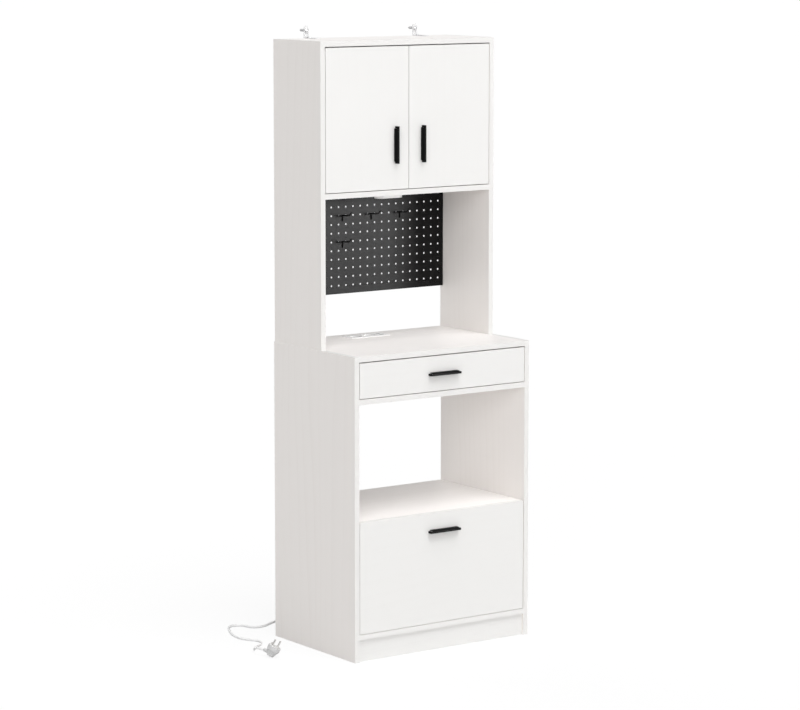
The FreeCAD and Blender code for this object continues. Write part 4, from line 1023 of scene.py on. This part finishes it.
@dataclass(frozen=True)
class PanScrew:
    """A wood screw with a domed head, a cross recess and a thread."""

    head_radius: float = 0.0045
    head_height: float = 0.0024
    shank_radius: float = 0.0025
    root_share: float = 0.7
    tip_height: float = 0.0012
    thread_start: float = 0.002
    thread_pitch: float = 0.0016
    unthreaded: float = 0.003
    neck: float = 0.0004
    recess: tuple[float, float, float] = (0.56, 0.13, 0.55)

    def add_to(self, piece: Workpiece, seat: Vector, outward: Vector, length: float) -> None:
        """Adds the screw to a workpiece.

        Args:
            piece: The workpiece.
            seat: The middle of the face that the head sits on.
            outward: Where the head points.
            length: The length of the shank below the head.
        """
        radius, root = self.shank_radius, self.shank_radius * self.root_share
        profile = [(0.0, -length), (root * 0.5, -length + self.tip_height)]
        for turn in range(int((length - self.unthreaded) / self.thread_pitch)):
            height = -length + self.thread_start + turn * self.thread_pitch
            profile += [(root, height), (radius, height + self.thread_pitch * 0.5)]
        profile += [(root, -self.neck), (radius, 0.0)]
        profile += [(self.head_radius * across, self.head_height * up)
                    for across, up in PAN_HEAD]
        recess = CrossRecess.in_head(self.recess, self.head_radius, self.head_height)
        piece.turned(profile, facing(seat, outward), recess=recess)


@dataclass(frozen=True)
class FlatScrew:
    """A screw whose thin head is all that shows on a fitting."""

    head_radius: float = 0.0034
    head_height: float = 0.0007
    recess: tuple[float, float, float] = (0.58, 0.14, 1.6)

    def add_to(self, piece: Workpiece, seat: Vector, outward: Vector) -> None:
        """Adds the head to a workpiece.

        Args:
            piece: The workpiece.
            seat: The middle of the face that the head sits on.
            outward: Where the head points.
        """
        profile = [(self.head_radius * across, self.head_height * up)
                   for across, up in FLAT_HEAD]
        recess = CrossRecess.in_head(self.recess, self.head_radius, self.head_height)
        piece.turned(profile, facing(seat, outward), recess=recess)


# ---------------------------------------------------------------------------
# Sub-assemblies
# ---------------------------------------------------------------------------
@dataclass(frozen=True)
class Carcass:
    """The boards of the base cabinet and of the hutch on it."""

    edge: float = 0.0006

    def build(self, cabinet: Cabinet) -> None:
        """Gives every fixed board its finish.

        Args:
            cabinet: The cabinet.
        """
        sides = [f"{part}_side_{hand}" for part in ("base", "hutch")
                 for hand in ("left", "right")]
        cabinet.dress(sides, "side_boards", self.edge)
        level = ("counter_top", "drawer_shelf", "microwave_shelf", "bottom_panel",
                 "hutch_top", "hutch_shelf", "inner_shelf")
        cabinet.dress(level, "level_boards", self.edge)
        cabinet.dress(("plinth_front", "plinth_back"), "toe_boards", self.edge)
        backs = ("lower_back_board", "drawer_back_board", "cupboard_back_board")
        cabinet.dress(backs, "back_boards", self.edge)


@dataclass(frozen=True)
class CarcassFittings:
    """Cams, bolts, pins and screws that hold the boards together."""

    cam_chamfer: float = 0.0005
    cam_slot_reach: float = 0.0045
    cam_slot_width: float = 0.17
    cam_slot_depth: float = 0.3
    cam_rings: tuple[float, ...] = (0.62, 0.58, 0.44, 0.3, 0.16, 0.0)
    screw: PanScrew = PanScrew()
    head_overhang: float = 1.2

    def build(self, cabinet: Cabinet) -> None:
        """Finishes the fittings and gives the cams their driver recess.

        Args:
            cabinet: The cabinet.
        """
        cabinet.dress(("cam_bolts", "shelf_pins", "hutch_pins"), "plated_zinc")
        cams = Workpiece()
        for disc in solids_of(cabinet.nodes["cam_discs"]):
            radius, depth = disc.reach.x / 2, disc.reach.z
            face = Vector((disc.middle.x, disc.middle.y, disc.low.z))
            recess = CrossRecess(self.cam_slot_reach, radius * self.cam_slot_width,
                                 depth * self.cam_slot_depth)
            profile = [(0.0, -depth), (radius, -depth), (radius, -self.cam_chamfer),
                       (radius - self.cam_chamfer, 0.0)]
            profile += [(radius * share, 0.0) for share in self.cam_rings]
            cams.turned(profile, facing(face, DOWN), recess=recess)
        cams.made("cam_disc_castings", cabinet.finishes["plated_zinc"], Body.CARCASS,
                  Slot.ZINC, ("cam_discs",))
        self._screws(cabinet, "wood_screws", "wood_screw_set")
        self._screws(cabinet, "wall_screws", "wall_screw_pair")

    def _screws(self, cabinet: Cabinet, node: str, name: str) -> None:
        """Replaces plain screws by ones with a thread and a recess.

        Args:
            cabinet: The cabinet.
            node: The node that holds the plain screws.
            name: The name of the new piece.
        """
        head_from = self.screw.shank_radius * self.head_overhang
        piece = Workpiece()
        for solid in solids_of(cabinet.nodes[node]):
            axis = max(range(3), key=lambda index: solid.reach[index])
            across = (axis + 1) % 3
            wide = [point for point in solid.points
                    if abs(point[across] - solid.middle[across]) > head_from]
            head = sum(point[axis] for point in wide) / len(wide)
            outward = Vector((0.0, 0.0, 0.0))
            outward[axis] = 1.0 if head > solid.middle[axis] else -1.0
            crown = solid.high[axis] if outward[axis] > 0 else solid.low[axis]
            seat = solid.middle.copy()
            seat[axis] = crown - outward[axis] * self.screw.head_height
            length = solid.reach[axis] - self.screw.head_height
            self.screw.add_to(piece, seat, outward, length)
        piece.made(name, cabinet.finishes["screw_steel"], Body.CARCASS, Slot.SCREW, (node,))


@dataclass(frozen=True)
class PegWall:
    """The folded steel pegboard and the wire hooks on it."""

    fold: float = 0.0007
    bar_radius: float = 0.002
    arm_radius: float = 0.0018
    leg_radius: float = 0.0016
    leg_length: float = 0.017
    tip_rise: float = 0.013
    tip_reach: float = 0.013
    prong_spacing: float = 0.025
    tip_bend: float = 0.005
    weld: float = 0.0027
    weld_rings: int = 8
    hook_names: tuple[str, ...] = ("hook_low_left", "hook_left", "hook_middle", "hook_right")

    def build(self, cabinet: Cabinet) -> None:
        """Dresses the board and bends the four hooks.

        Args:
            cabinet: The cabinet.
        """
        cabinet.dress(("pegboard",), "pegboard_black", self.fold)
        board_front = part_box("pegboard")[0].y
        for name, solid in zip(self.hook_names, solids_of(cabinet.nodes["peg_hooks"])):
            self._hook(name, solid, board_front, cabinet)

    def _hook(self, name: str, solid: Solid, board_front: float, cabinet: Cabinet) -> None:
        """Bends one hook inside the plain solid that it stands for.

        Args:
            name: The hook's name.
            solid: The plain hook.
            board_front: Where the pegboard's face is.
            cabinet: The cabinet.
        """
        level = solid.low.z + self.leg_length
        root = Vector((solid.middle.x, board_front - self.bar_radius, level))
        half = RIGHT * (solid.reach.x / 2)
        tip = solid.low.y + self.arm_radius / 2
        piece = Workpiece()
        piece.wire((root - half, root + half), self.bar_radius)
        for side in (-1, 1):
            start = root + RIGHT * (side * self.prong_spacing / 2)
            end = Vector((start.x, solid.high.y, level))
            piece.wire((start, end), self.arm_radius)
        elbow = Vector((root.x, tip + self.tip_reach, level + self.bar_radius))
        end = Vector((root.x, tip, level + self.tip_rise))
        piece.wire((root, elbow, end), self.arm_radius, self.tip_bend)
        piece.wire((root, root + DOWN * self.leg_length), self.leg_radius)
        turns = [math.pi * step / self.weld_rings for step in range(1, self.weld_rings)]
        bead = [(self.weld * math.sin(turn), -self.weld * math.cos(turn)) for turn in turns]
        profile = [(0.0, -self.weld), *bead, (0.0, self.weld)]
        piece.turned(profile, facing(root, RIGHT), steps=16)
        piece.made(name, cabinet.finishes["hook_black"], Body.CARCASS, Slot.HOOK,
                   ("peg_hooks",))


@dataclass(frozen=True)
class Handles:
    """The black handles and the screws that hold them from behind."""

    edge: float = 0.0003
    foot: float = 0.006
    screw: PanScrew = PanScrew(head_radius=0.0042, shank_radius=0.002)
    screw_length: float = 0.0125

    def build(self, cabinet: Cabinet) -> None:
        """Dresses the handles and screws each one through its front.

        Args:
            cabinet: The cabinet.
        """
        fronts = (("door_handle_left", "door_left", Body.LEFT_DOOR),
                  ("door_handle_right", "door_right", Body.RIGHT_DOOR),
                  ("drawer_handle", "drawer_front", Body.DRAWER),
                  ("deep_drawer_handle", "deep_drawer_front", Body.DEEP_DRAWER))
        for handle, front, body in fronts:
            cabinet.dress((handle,), "handle_black", self.edge)
            low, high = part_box(handle)
            inner_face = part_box(front)[1].y
            run = UP if high.z - low.z > high.x - low.x else RIGHT
            length = (high - low).dot(run)
            middle = (low + high) / 2
            screws = Workpiece()
            for end in (-1, 1):
                seat = middle + run * (end * (length / 2 - self.foot))
                seat.y = inner_face
                self.screw.add_to(screws, seat, BACK, self.screw_length)
            screws.made(f"{handle}_screws", cabinet.finishes["screw_steel"], body, Slot.SCREW)


@dataclass(frozen=True)
class Doors:
    """The two doors with their cup hinges."""

    edge: float = 0.0006
    arm_edge: float = 0.0004
    cup_edge: float = 0.0003
    screw: FlatScrew = FlatScrew()
    wing: float = 0.0052
    plate_end: float = 0.0055
    plate_middle: float = 0.019
    plate_thickness: float = 0.003
    arm_screw: FlatScrew = FlatScrew(head_radius=0.003)
    arm_face: float = 0.012
    arm_screw_rows: tuple[float, float] = (0.010, 0.030)

    def build(self, cabinet: Cabinet) -> None:
        """Dresses the doors and their hinges and adds the hinges' screws.

        Args:
            cabinet: The cabinet.
        """
        self._arms(cabinet)
        for hand, body in (("left", Body.LEFT_DOOR), ("right", Body.RIGHT_DOOR)):
            self._door(cabinet, hand, body)

    def _arms(self, cabinet: Cabinet) -> None:
        """Dresses the hinge arms and screws them to the hutch's sides.

        Args:
            cabinet: The cabinet.
        """
        cabinet.dress(("hinge_arms",), "plated_zinc", self.arm_edge)
        screws = Workpiece()
        for arm in solids_of(cabinet.nodes["hinge_arms"]):
            inward = LEFT if arm.middle.x > 0 else RIGHT
            wall = arm.high.x if arm.middle.x > 0 else arm.low.x
            row = arm.high.y - self.plate_middle
            for end in (-1, 1):
                level = arm.middle.z + end * (arm.reach.z / 2 - self.plate_end)
                seat = Vector((wall + inward.x * self.plate_thickness, row, level))
                self.screw.add_to(screws, seat, inward)
            for back in self.arm_screw_rows:
                seat = Vector((wall + inward.x * self.arm_face, arm.high.y - back,
                               arm.middle.z))
                self.arm_screw.add_to(screws, seat, inward)
        screws.made("hinge_arm_screws", cabinet.finishes["screw_steel"], Body.CARCASS,
                    Slot.SCREW)

    def _door(self, cabinet: Cabinet, hand: str, body: Body) -> None:
        """Dresses a door and screws its hinge cups on.

        Args:
            cabinet: The cabinet.
            hand: The door's side, left or right.
            body: The door's body.
        """
        cabinet.dress((f"door_{hand}",), "doors", self.edge)
        cabinet.dress((f"hinge_cups_{hand}",), "plated_zinc", self.cup_edge)
        screws = Workpiece()
        for cup in solids_of(cabinet.nodes[f"hinge_cups_{hand}"]):
            for end in (-1, 1):
                level = cup.middle.z + end * (cup.reach.z / 2 - self.wing)
                self.screw.add_to(screws, Vector((cup.middle.x, cup.high.y, level)), BACK)
        screws.made(f"hinge_cup_screws_{hand}", cabinet.finishes["screw_steel"], body,
                    Slot.SCREW)


@dataclass(frozen=True)
class Drawers:
    """The drawer and the deep drawer on their runners."""

    edge: float = 0.0006
    steel_edge: float = 0.0003

    def build(self, cabinet: Cabinet) -> None:
        """Dresses both drawers, their boxes and their runners.

        Args:
            cabinet: The cabinet.
        """
        for word in ("drawer", "deep_drawer"):
            cabinet.dress((f"{word}_front",), "drawer_fronts", self.edge)
            box = [f"{word}_{part}" for part in ("sides", "back", "bottom")]
            cabinet.dress(box, "drawer_boxes", self.edge)
            rails = [f"{word}_runners_{part}" for part in ("middle", "inner")]
            cabinet.dress(rails, "runner_zinc", self.steel_edge)
        cabinet.dress(("runners_outer",), "runner_zinc", self.steel_edge)


@dataclass(frozen=True)
class Lamp:
    """The touch lamp under the hutch's shelf."""

    edge: float = 0.0012
    inset_edge: float = 0.0003

    def build(self, cabinet: Cabinet) -> None:
        """Dresses the lamp's housing, lens and touch spot.

        Args:
            cabinet: The cabinet.
        """
        cabinet.dress(("lamp_housing",), "lamp_white", self.edge)
        cabinet.dress(("lamp_diffuser",), "lamp_lens", self.inset_edge)
        cabinet.dress(("lamp_sensor",), "lamp_touch", self.inset_edge)


@dataclass(frozen=True)
class Outlet:
    """The mains outlet with two sockets and two charging ports in the counter."""

    plate_edge: float = 0.0009
    insert_edge: float = 0.0004
    fitting_edge: float = 0.0003
    pin_spacing: float = 0.019
    sleeve_radius: float = 0.0027
    sleeve_bore: float = 0.0019
    sleeve_height: float = 0.0015
    sleeve_floor: float = 0.0004
    tongue: tuple[float, float, float] = (0.0100, 0.0018, 0.0105)
    tongue_set_back: float = 0.0009
    tongue_foot: float = 0.002
    tongue_edge: float = 0.0002
    strips: int = 4
    strip_width: float = 0.0012
    strip_thickness: float = 0.00025
    strip_end: float = 0.001
    strip_edge: float = 0.00008

    def build(self, cabinet: Cabinet) -> None:
        """Dresses the outlet and fills its pin holes and ports.

        Args:
            cabinet: The cabinet.
        """
        cabinet.dress(("outlet_housing",), "outlet_white", self.plate_edge)
        cabinet.dress(("socket_inserts",), "socket_white", self.insert_edge)
        cabinet.dress(("earth_clips",), "contact_nickel", self.fitting_edge)
        cabinet.dress(("usb_ports",), "port_grey", self.fitting_edge)
        self._sleeves(cabinet)
        self._tongues(cabinet)

    def _sleeves(self, cabinet: Cabinet) -> None:
        """Turns the contact sleeves at the bottom of the pin holes.

        Args:
            cabinet: The cabinet.
        """
        outer, bore = self.sleeve_radius, self.sleeve_bore
        profile = [(0.0, 0.0), (outer, 0.0), (outer, self.sleeve_height),
                   (bore, self.sleeve_height), (bore, self.sleeve_floor),
                   (0.0, self.sleeve_floor)]
        piece = Workpiece()
        for insert in solids_of(cabinet.nodes["socket_inserts"]):
            for side in (-1, 1):
                foot = Vector((insert.middle.x + side * self.pin_spacing / 2,
                               insert.middle.y, insert.low.z))
                piece.turned(profile, facing(foot, UP), steps=20)
        piece.made("socket_contact_sleeves", cabinet.finishes["contact_nickel"],
                   Body.CARCASS, Slot.CONTACT)

    def _tongues(self, cabinet: Cabinet) -> None:
        """Stands a tongue with its contact strips in each charging port.

        Args:
            cabinet: The cabinet.
        """
        tongues, strips = Workpiece(), Workpiece()
        across, thick, tall = self.tongue
        half = Vector((across / 2, thick / 2, 0.0))
        for port in solids_of(cabinet.nodes["usb_ports"]):
            foot = Vector((port.middle.x, port.middle.y + self.tongue_set_back,
                           port.low.z + self.tongue_foot))
            tongues.block(foot - half, foot + half + UP * tall, self.tongue_edge)
            for number in range(self.strips):
                middle = foot.x - across / 2 + across * (number + 0.5) / self.strips
                left = middle - self.strip_width / 2
                low = Vector((left, foot.y - thick / 2 - self.strip_thickness,
                              foot.z + self.strip_end))
                high = Vector((left + self.strip_width, foot.y - thick / 2,
                               foot.z + tall - self.strip_end))
                strips.block(low, high, self.strip_edge)
        tongues.made("charging_port_tongues", cabinet.finishes["port_black"], Body.CARCASS,
                     Slot.PORT)
        strips.made("charging_port_contacts", cabinet.finishes["contact_gold"], Body.CARCASS,
                    Slot.CONTACT)


@dataclass(frozen=True)
class WallFixing:
    """The brackets on the hutch's top with the ribbed plugs of their wall screws."""

    bracket_edge: float = 0.0008
    rim: float = 0.001
    rib_start: float = 0.002
    rib_step: float = 0.0035
    rib_depth: float = 0.0006
    rib_share: float = 0.8
    unribbed: float = 0.006
    nose: float = 0.003
    nose_shares: tuple[float, float] = (0.9, 0.55)

    def build(self, cabinet: Cabinet) -> None:
        """Dresses the brackets and cuts ribs into the wall plugs.

        Args:
            cabinet: The cabinet.
        """
        cabinet.dress(("wall_brackets",), "bracket_white", self.bracket_edge)
        piece = Workpiece()
        bore = PanScrew().shank_radius
        for plug in solids_of(cabinet.nodes["wall_plugs"]):
            radius, length = plug.reach.x / 2, plug.reach.y
            foot = Vector((plug.middle.x, plug.low.y, plug.middle.z))
            profile = [(bore, 0.0), (radius, 0.0), (radius, self.rim)]
            for rib in range(int((length - self.unribbed) / self.rib_step)):
                height = self.rib_start + rib * self.rib_step
                profile += [(radius - self.rib_depth, height),
                            (radius, height + self.rib_step * self.rib_share)]
            back, tip = self.nose_shares
            profile += [(radius * back, length - self.nose), (radius * tip, length),
                        (0.0, length)]
            piece.turned(profile, facing(foot, BACK), steps=24)
        piece.made("ribbed_wall_plugs", cabinet.finishes["wall_plug_grey"], Body.CARCASS,
                   Slot.WALL_PLUG, ("wall_plugs",))


@dataclass(frozen=True)
class StrainRelief:
    """The ribbed sleeve that guards the cord where it leaves the back board."""

    flange: float = 0.003
    flange_rim: float = 0.0022
    flange_chamfer: float = 0.0008
    shoulder: float = 0.002
    ribs: int = 5
    groove_depth: float = 0.0009
    groove_share: float = 0.35
    rib_from: float = 0.45
    rib_to: float = 0.98
    rib_fall: float = 0.0002
    mouth_chamfer: float = 0.0006

    def build(self, cabinet: Cabinet, mouth: float) -> None:
        """Turns the sleeve round the place of the plain one.

        Args:
            cabinet: The cabinet.
            mouth: The radius of its thin end.
        """
        low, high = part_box("cord_gland")
        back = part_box("drawer_back_board")[1].y - low.y
        length, wide = high.y - low.y, (high.x - low.x) / 2
        foot = Vector(((low.x + high.x) / 2, low.y, (low.z + high.z) / 2))
        start = back + self.flange
        profile = [(0.0, 0.0), (wide, 0.0), (wide, back + self.flange_rim),
                   (wide - self.flange_chamfer, start)]
        thick = wide - self.shoulder
        step = (length - start) / self.ribs
        for rib in range(self.ribs):
            around = thick + (mouth - thick) * rib / self.ribs
            begin = start + rib * step
            profile += [(around - self.groove_depth, begin),
                        (around - self.groove_depth, begin + step * self.groove_share),
                        (around, begin + step * self.rib_from),
                        (around - self.rib_fall, begin + step * self.rib_to)]
        profile += [(mouth - self.mouth_chamfer, length), (0.0, length)]
        piece = Workpiece()
        piece.turned(profile, facing(foot, BACK))
        piece.made("cord_strain_relief", cabinet.finishes["plug_vinyl"], Body.CARCASS,
                   Slot.CORD, ("cord_gland",))


@dataclass(frozen=True)
class MainsLead:
    """The cord behind the cabinet, its strain relief, its plug and the plug's ribs."""

    radius: float = 0.00325
    length: float = 1.58
    plug_lean: tuple[float, float, float] = (0.39, -0.27, 0.88)
    plug_length: float = 0.028
    plug_entry: float = 0.012
    plug_depth: float = 0.030
    plug_radius: float = 0.0185
    plug_tail: float = 0.0095
    plug_thickness: float = 0.009
    plug_edge: float = 0.0008
    pin_edge: float = 0.0005
    strip_edge: float = 0.0003
    neck_wide: float = 0.008
    neck_narrow: float = 0.00425
    rib_root: float = 0.001
    rib_rise: float = 0.0005
    grip_heights: tuple[float, ...] = (0.0150, 0.0172, 0.0194)
    grip_half: float = 0.0007
    grip_crown: float = 0.0003
    neck_shares: tuple[float, ...] = (0.08, 0.20, 0.32, 0.44)
    neck_half: float = 0.0011
    neck_crown: float = 0.0006
    neck_flare: float = 0.0001
    # The cord's route: out of the back, down to the floor, and round to the plug.
    route: tuple[tuple[float, float, float], ...] = (
        (-0.0235, 0.215, 0.816), (-0.0235, 0.243, 0.816), (-0.0255, 0.269, 0.797),
        (-0.0305, 0.285, 0.756), (-0.0375, 0.291, 0.680), (-0.0435, 0.291, 0.592),
        (-0.0475, 0.287, 0.502), (-0.0495, 0.282, 0.412), (-0.0505, 0.277, 0.322),
        (-0.0515, 0.275, 0.232), (-0.0525, 0.278, 0.150), (-0.0565, 0.285, 0.084),
        (-0.0655, 0.299, 0.036), (-0.0835, 0.317, 0.0095), (-0.1155, 0.335, 0.0034),
        (-0.1680, 0.349, 0.0033), (-0.2240, 0.327, 0.0033), (-0.2680, 0.299, 0.0033),
        (-0.3080, 0.303, 0.0033), (-0.3150, 0.351, 0.0033), (-0.3550, 0.360, 0.0033),
        (-0.3830, 0.309, 0.0033), (-0.4040, 0.259, 0.0033), (-0.4080, 0.215, 0.0033),
        (-0.3940, 0.183, 0.0033), (-0.3760, 0.153, 0.0033), (-0.3960, 0.119, 0.0033),
        (-0.4300, 0.098, 0.0033), (-0.4550, 0.068, 0.0050), (-0.4676, 0.0373, 0.0209),
        (-0.4578, 0.0113, 0.0181),
    )

    def build(self, cabinet: Cabinet) -> None:
        """Lays the cord and finishes what is on it.

        Args:
            cabinet: The cabinet.
        """
        cabinet.dress(("plug_body",), "plug_vinyl", self.plug_edge)
        cabinet.dress(("plug_pins",), "contact_nickel", self.pin_edge)
        cabinet.dress(("plug_earth_strips",), "contact_nickel", self.strip_edge)
        StrainRelief().build(cabinet, self.neck_narrow)
        grips = self._plug_grips(cabinet)
        cord = self._cord(cabinet)

    def _cord(self, cabinet: Cabinet) -> bpy.types.Object:
        """Lays the cord as one smooth spline along its route.

        Args:
            cabinet: The cabinet.

        Returns:
            The cord.
        """
        curve = bpy.data.curves.new("mains_cord", "CURVE")
        curve.dimensions = "3D"
        curve.bevel_depth = self.radius
        curve.bevel_resolution = 5
        curve.resolution_u = 10
        spline = curve.splines.new("NURBS")
        spline.points.add(len(self.route) - 1)
        for point, place in zip(spline.points, self.route):
            point.co = (*place, 1.0)
        spline.order_u = 3
        spline.use_endpoint_u = True
        curve.materials.append(cabinet.finishes["cord_vinyl"])
        cord = into_scene("mains_cord", curve)
        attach(cord, Body.CARCASS.value)
        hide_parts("cord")
        LOG.info("laid the cord over %d points", len(self.route))
        return cord

    def _plug_grips(self, cabinet: Cabinet) -> bpy.types.Object:
        """Raises the grip ribs round the plug's tapered back and along its neck.

        Args:
            cabinet: The cabinet.

        Returns:
            The ribs as one piece.
        """
        last, before = Vector(self.route[-1]), Vector(self.route[-2])
        run = (last - before).normalized()
        lean = Vector(self.plug_lean).normalized()
        back = last + run * self.plug_length - lean * self.plug_entry
        taper = self.plug_depth - self.plug_thickness
        widening = (self.plug_radius - self.plug_tail) / taper
        root, rise = self.rib_root, self.rib_rise
        piece = Workpiece()
        half, crown = self.grip_half, self.grip_crown
        for height in self.grip_heights:
            wide = self.plug_tail + widening * height
            low, high = wide - widening * half, wide + widening * half
            profile = [(low - root, -half), (low, -half), (low + rise, -crown),
                       (high + rise, crown), (high, half), (high - root, half)]
            piece.turned(profile, facing(back + lean * height, lean), steps=48)
        half, crown, flare = self.neck_half, self.neck_crown, self.neck_flare
        for share in self.neck_shares:
            middle = last + run * self.plug_length * share
            wide = self.neck_narrow + (self.neck_wide - self.neck_narrow) * share
            profile = [(wide - root, -half), (wide, -half), (wide + rise, -crown),
                       (wide + rise + flare, crown), (wide + flare, half),
                       (wide - root, half)]
            piece.turned(profile, facing(middle, run), steps=32)
        return piece.made("plug_grip_ribs", cabinet.finishes["plug_vinyl"], Body.CARCASS,
                          Slot.CORD)


# ---------------------------------------------------------------------------
# Studio
# ---------------------------------------------------------------------------
@dataclass(frozen=True)
class SoftLamp:
    """A wide, far lamp that lights every part of the cabinet alike."""

    name: str
    azimuth: float
    elevation: float
    strength: float
    softness: float
    sheen_only: bool = False
    distance: float = 5.0

    def hang(self) -> None:
        """Adds the lamp; azimuth 0 shines from the front and 90 from the right."""
        light = bpy.data.lights.new(self.name, "SUN")
        light.energy = self.strength * math.pi
        light.angle = math.radians(self.softness)
        lamp = into_scene(self.name, light)
        side, up = math.radians(self.azimuth), math.radians(self.elevation)
        towards = Vector((math.sin(side) * math.cos(up), -math.cos(side) * math.cos(up),
                          math.sin(up)))
        lamp.rotation_euler = towards.to_track_quat("Z", "Y").to_euler()
        lamp.location = towards * self.distance
        lamp.visible_diffuse = not self.sheen_only


@dataclass(frozen=True)
class Viewpoint:
    """The photograph's camera."""

    position: tuple[float, float, float] = (-4.86157, -6.80350, 2.00024)
    yaw: float = 0.6184
    pitch: float = 0.13083
    focal_pixels: float = 2984.2
    frame_width: float = 800.0
    film_width: float = 36.0
    shift: tuple[float, float] = (0.0072, -0.04)
    farthest: float = 400.0

    def set_up(self) -> None:
        """Adds the camera and makes it the scene's own."""
        lens = bpy.data.cameras.new("viewpoint")
        lens.sensor_fit = "HORIZONTAL"
        lens.sensor_width = self.film_width
        lens.lens = self.focal_pixels * self.film_width / self.frame_width
        lens.shift_x, lens.shift_y = self.shift
        lens.clip_end = self.farthest
        camera = into_scene("viewpoint", lens)
        level = math.cos(self.pitch)
        ahead = Vector((math.sin(self.yaw) * level, math.cos(self.yaw) * level,
                        -math.sin(self.pitch)))
        camera.rotation_euler = ahead.to_track_quat("-Z", "Y").to_euler()
        camera.location = self.position
        bpy.context.scene.camera = camera


@dataclass(frozen=True)
class Studio:
    """A pale floor and soft light round the cabinet."""

    floor_half: float = 150.0
    floor_gap: float = 0.0002
    floor_colour: Colour = (0.66, 0.66, 0.66)
    floor_roughness: float = 0.9
    floor_glow: float = 0.82
    glow_strength: float = 1.06
    sky: float = 0.25
    lamps: tuple[SoftLamp, ...] = (
        SoftLamp("ceiling_front", 0.0, 68.0, 0.66, 40.0),
        SoftLamp("room_left", -40.0, 15.0, 0.38, 40.0),
        SoftLamp("room_behind", 180.0, 38.0, 0.25, 50.0),
        SoftLamp("window_right", 42.0, 34.0, 0.06, 40.0),
        SoftLamp("window_sheen", 32.0, 4.0, 1.1, 22.0, sheen_only=True),
    )

    def set_up(self) -> None:
        """Builds the floor, the sky, the lamps and the camera."""
        bpy.context.scene.view_settings.view_transform = "Standard"
        self._floor()
        self._sky()
        for lamp in self.lamps:
            lamp.hang()
        Viewpoint().set_up()

    @staticmethod
    def _seen_directly(sheet: NodeSheet) -> bpy.types.NodeSocket:
        """1 for rays that show a background: the camera's own and those through glass."""
        path = sheet.add("ShaderNodeLightPath")
        return sheet.math("MAXIMUM", path.outputs["Is Camera Ray"],
                          path.outputs["Is Transmission Ray"])

    def _floor(self) -> None:
        """Lays a wide pale floor that keeps a soft shadow."""
        half, low = self.floor_half, -self.floor_gap
        corners = [(-half, -half, low), (half, -half, low), (half, half, low),
                   (-half, half, low)]
        data = bpy.data.meshes.new("floor")
        data.from_pydata(corners, [], [(0, 1, 2, 3)])
        coating = Coating("pale_floor")
        sheet = coating.sheet
        coating.set("Base Color", (*self.floor_colour, 1.0))
        coating.set("Roughness", self.floor_roughness)
        coating.set("Specular IOR Level", 0.0)
        glow = sheet.add("ShaderNodeEmission")
        glow.inputs["Strength"].default_value = self.glow_strength
        share = sheet.math("MULTIPLY", self._seen_directly(sheet), self.floor_glow)
        mixed = sheet.add("ShaderNodeMixShader")
        sheet.feed(mixed.inputs[0], share)
        sheet.feed(mixed.inputs[1], coating.shader.outputs["BSDF"])
        sheet.feed(mixed.inputs[2], glow.outputs["Emission"])
        sheet.feed(coating.output.inputs["Surface"], mixed.outputs[0])
        data.materials.append(coating.material)
        into_scene("floor", data)

    def _sky(self) -> None:
        """Lights the cabinet from all round, before a white background."""
        world = bpy.data.worlds.new("studio")
        bpy.context.scene.world = world
        world.use_nodes = True
        world.node_tree.nodes.clear()
        sheet = NodeSheet(world.node_tree)
        light = sheet.add("ShaderNodeBackground")
        light.inputs["Color"].default_value = (1.0, 1.0, 1.0, 1.0)
        light.inputs["Strength"].default_value = self.sky
        white = sheet.add("ShaderNodeBackground")
        white.inputs["Color"].default_value = (1.0, 1.0, 1.0, 1.0)
        white.inputs["Strength"].default_value = 1.0
        mixed = sheet.add("ShaderNodeMixShader")
        sheet.feed(mixed.inputs[0], self._seen_directly(sheet))
        sheet.feed(mixed.inputs[1], light.outputs[0])
        sheet.feed(mixed.inputs[2], white.outputs[0])
        output = sheet.add("ShaderNodeOutputWorld")
        sheet.feed(output.inputs["Surface"], mixed.outputs[0])


def main() -> None:
    """Builds the cabinet's looks sub-assembly by sub-assembly."""
    logging.basicConfig(level=logging.INFO, format="%(name)s: %(message)s")
    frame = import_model()
    Studio().set_up()
    cabinet = Cabinet(frame, Finishes(Effects()))
    assemblies = (MainsLead(), Carcass(), CarcassFittings(), PegWall(), Doors(), Handles(),
                  Drawers(), Lamp(), Outlet(), WallFixing())
    for assembly in assemblies:
        assembly.build(cabinet)
        LOG.info("finished %s", type(assembly).__name__)


if __name__ == "__main__":
    main()
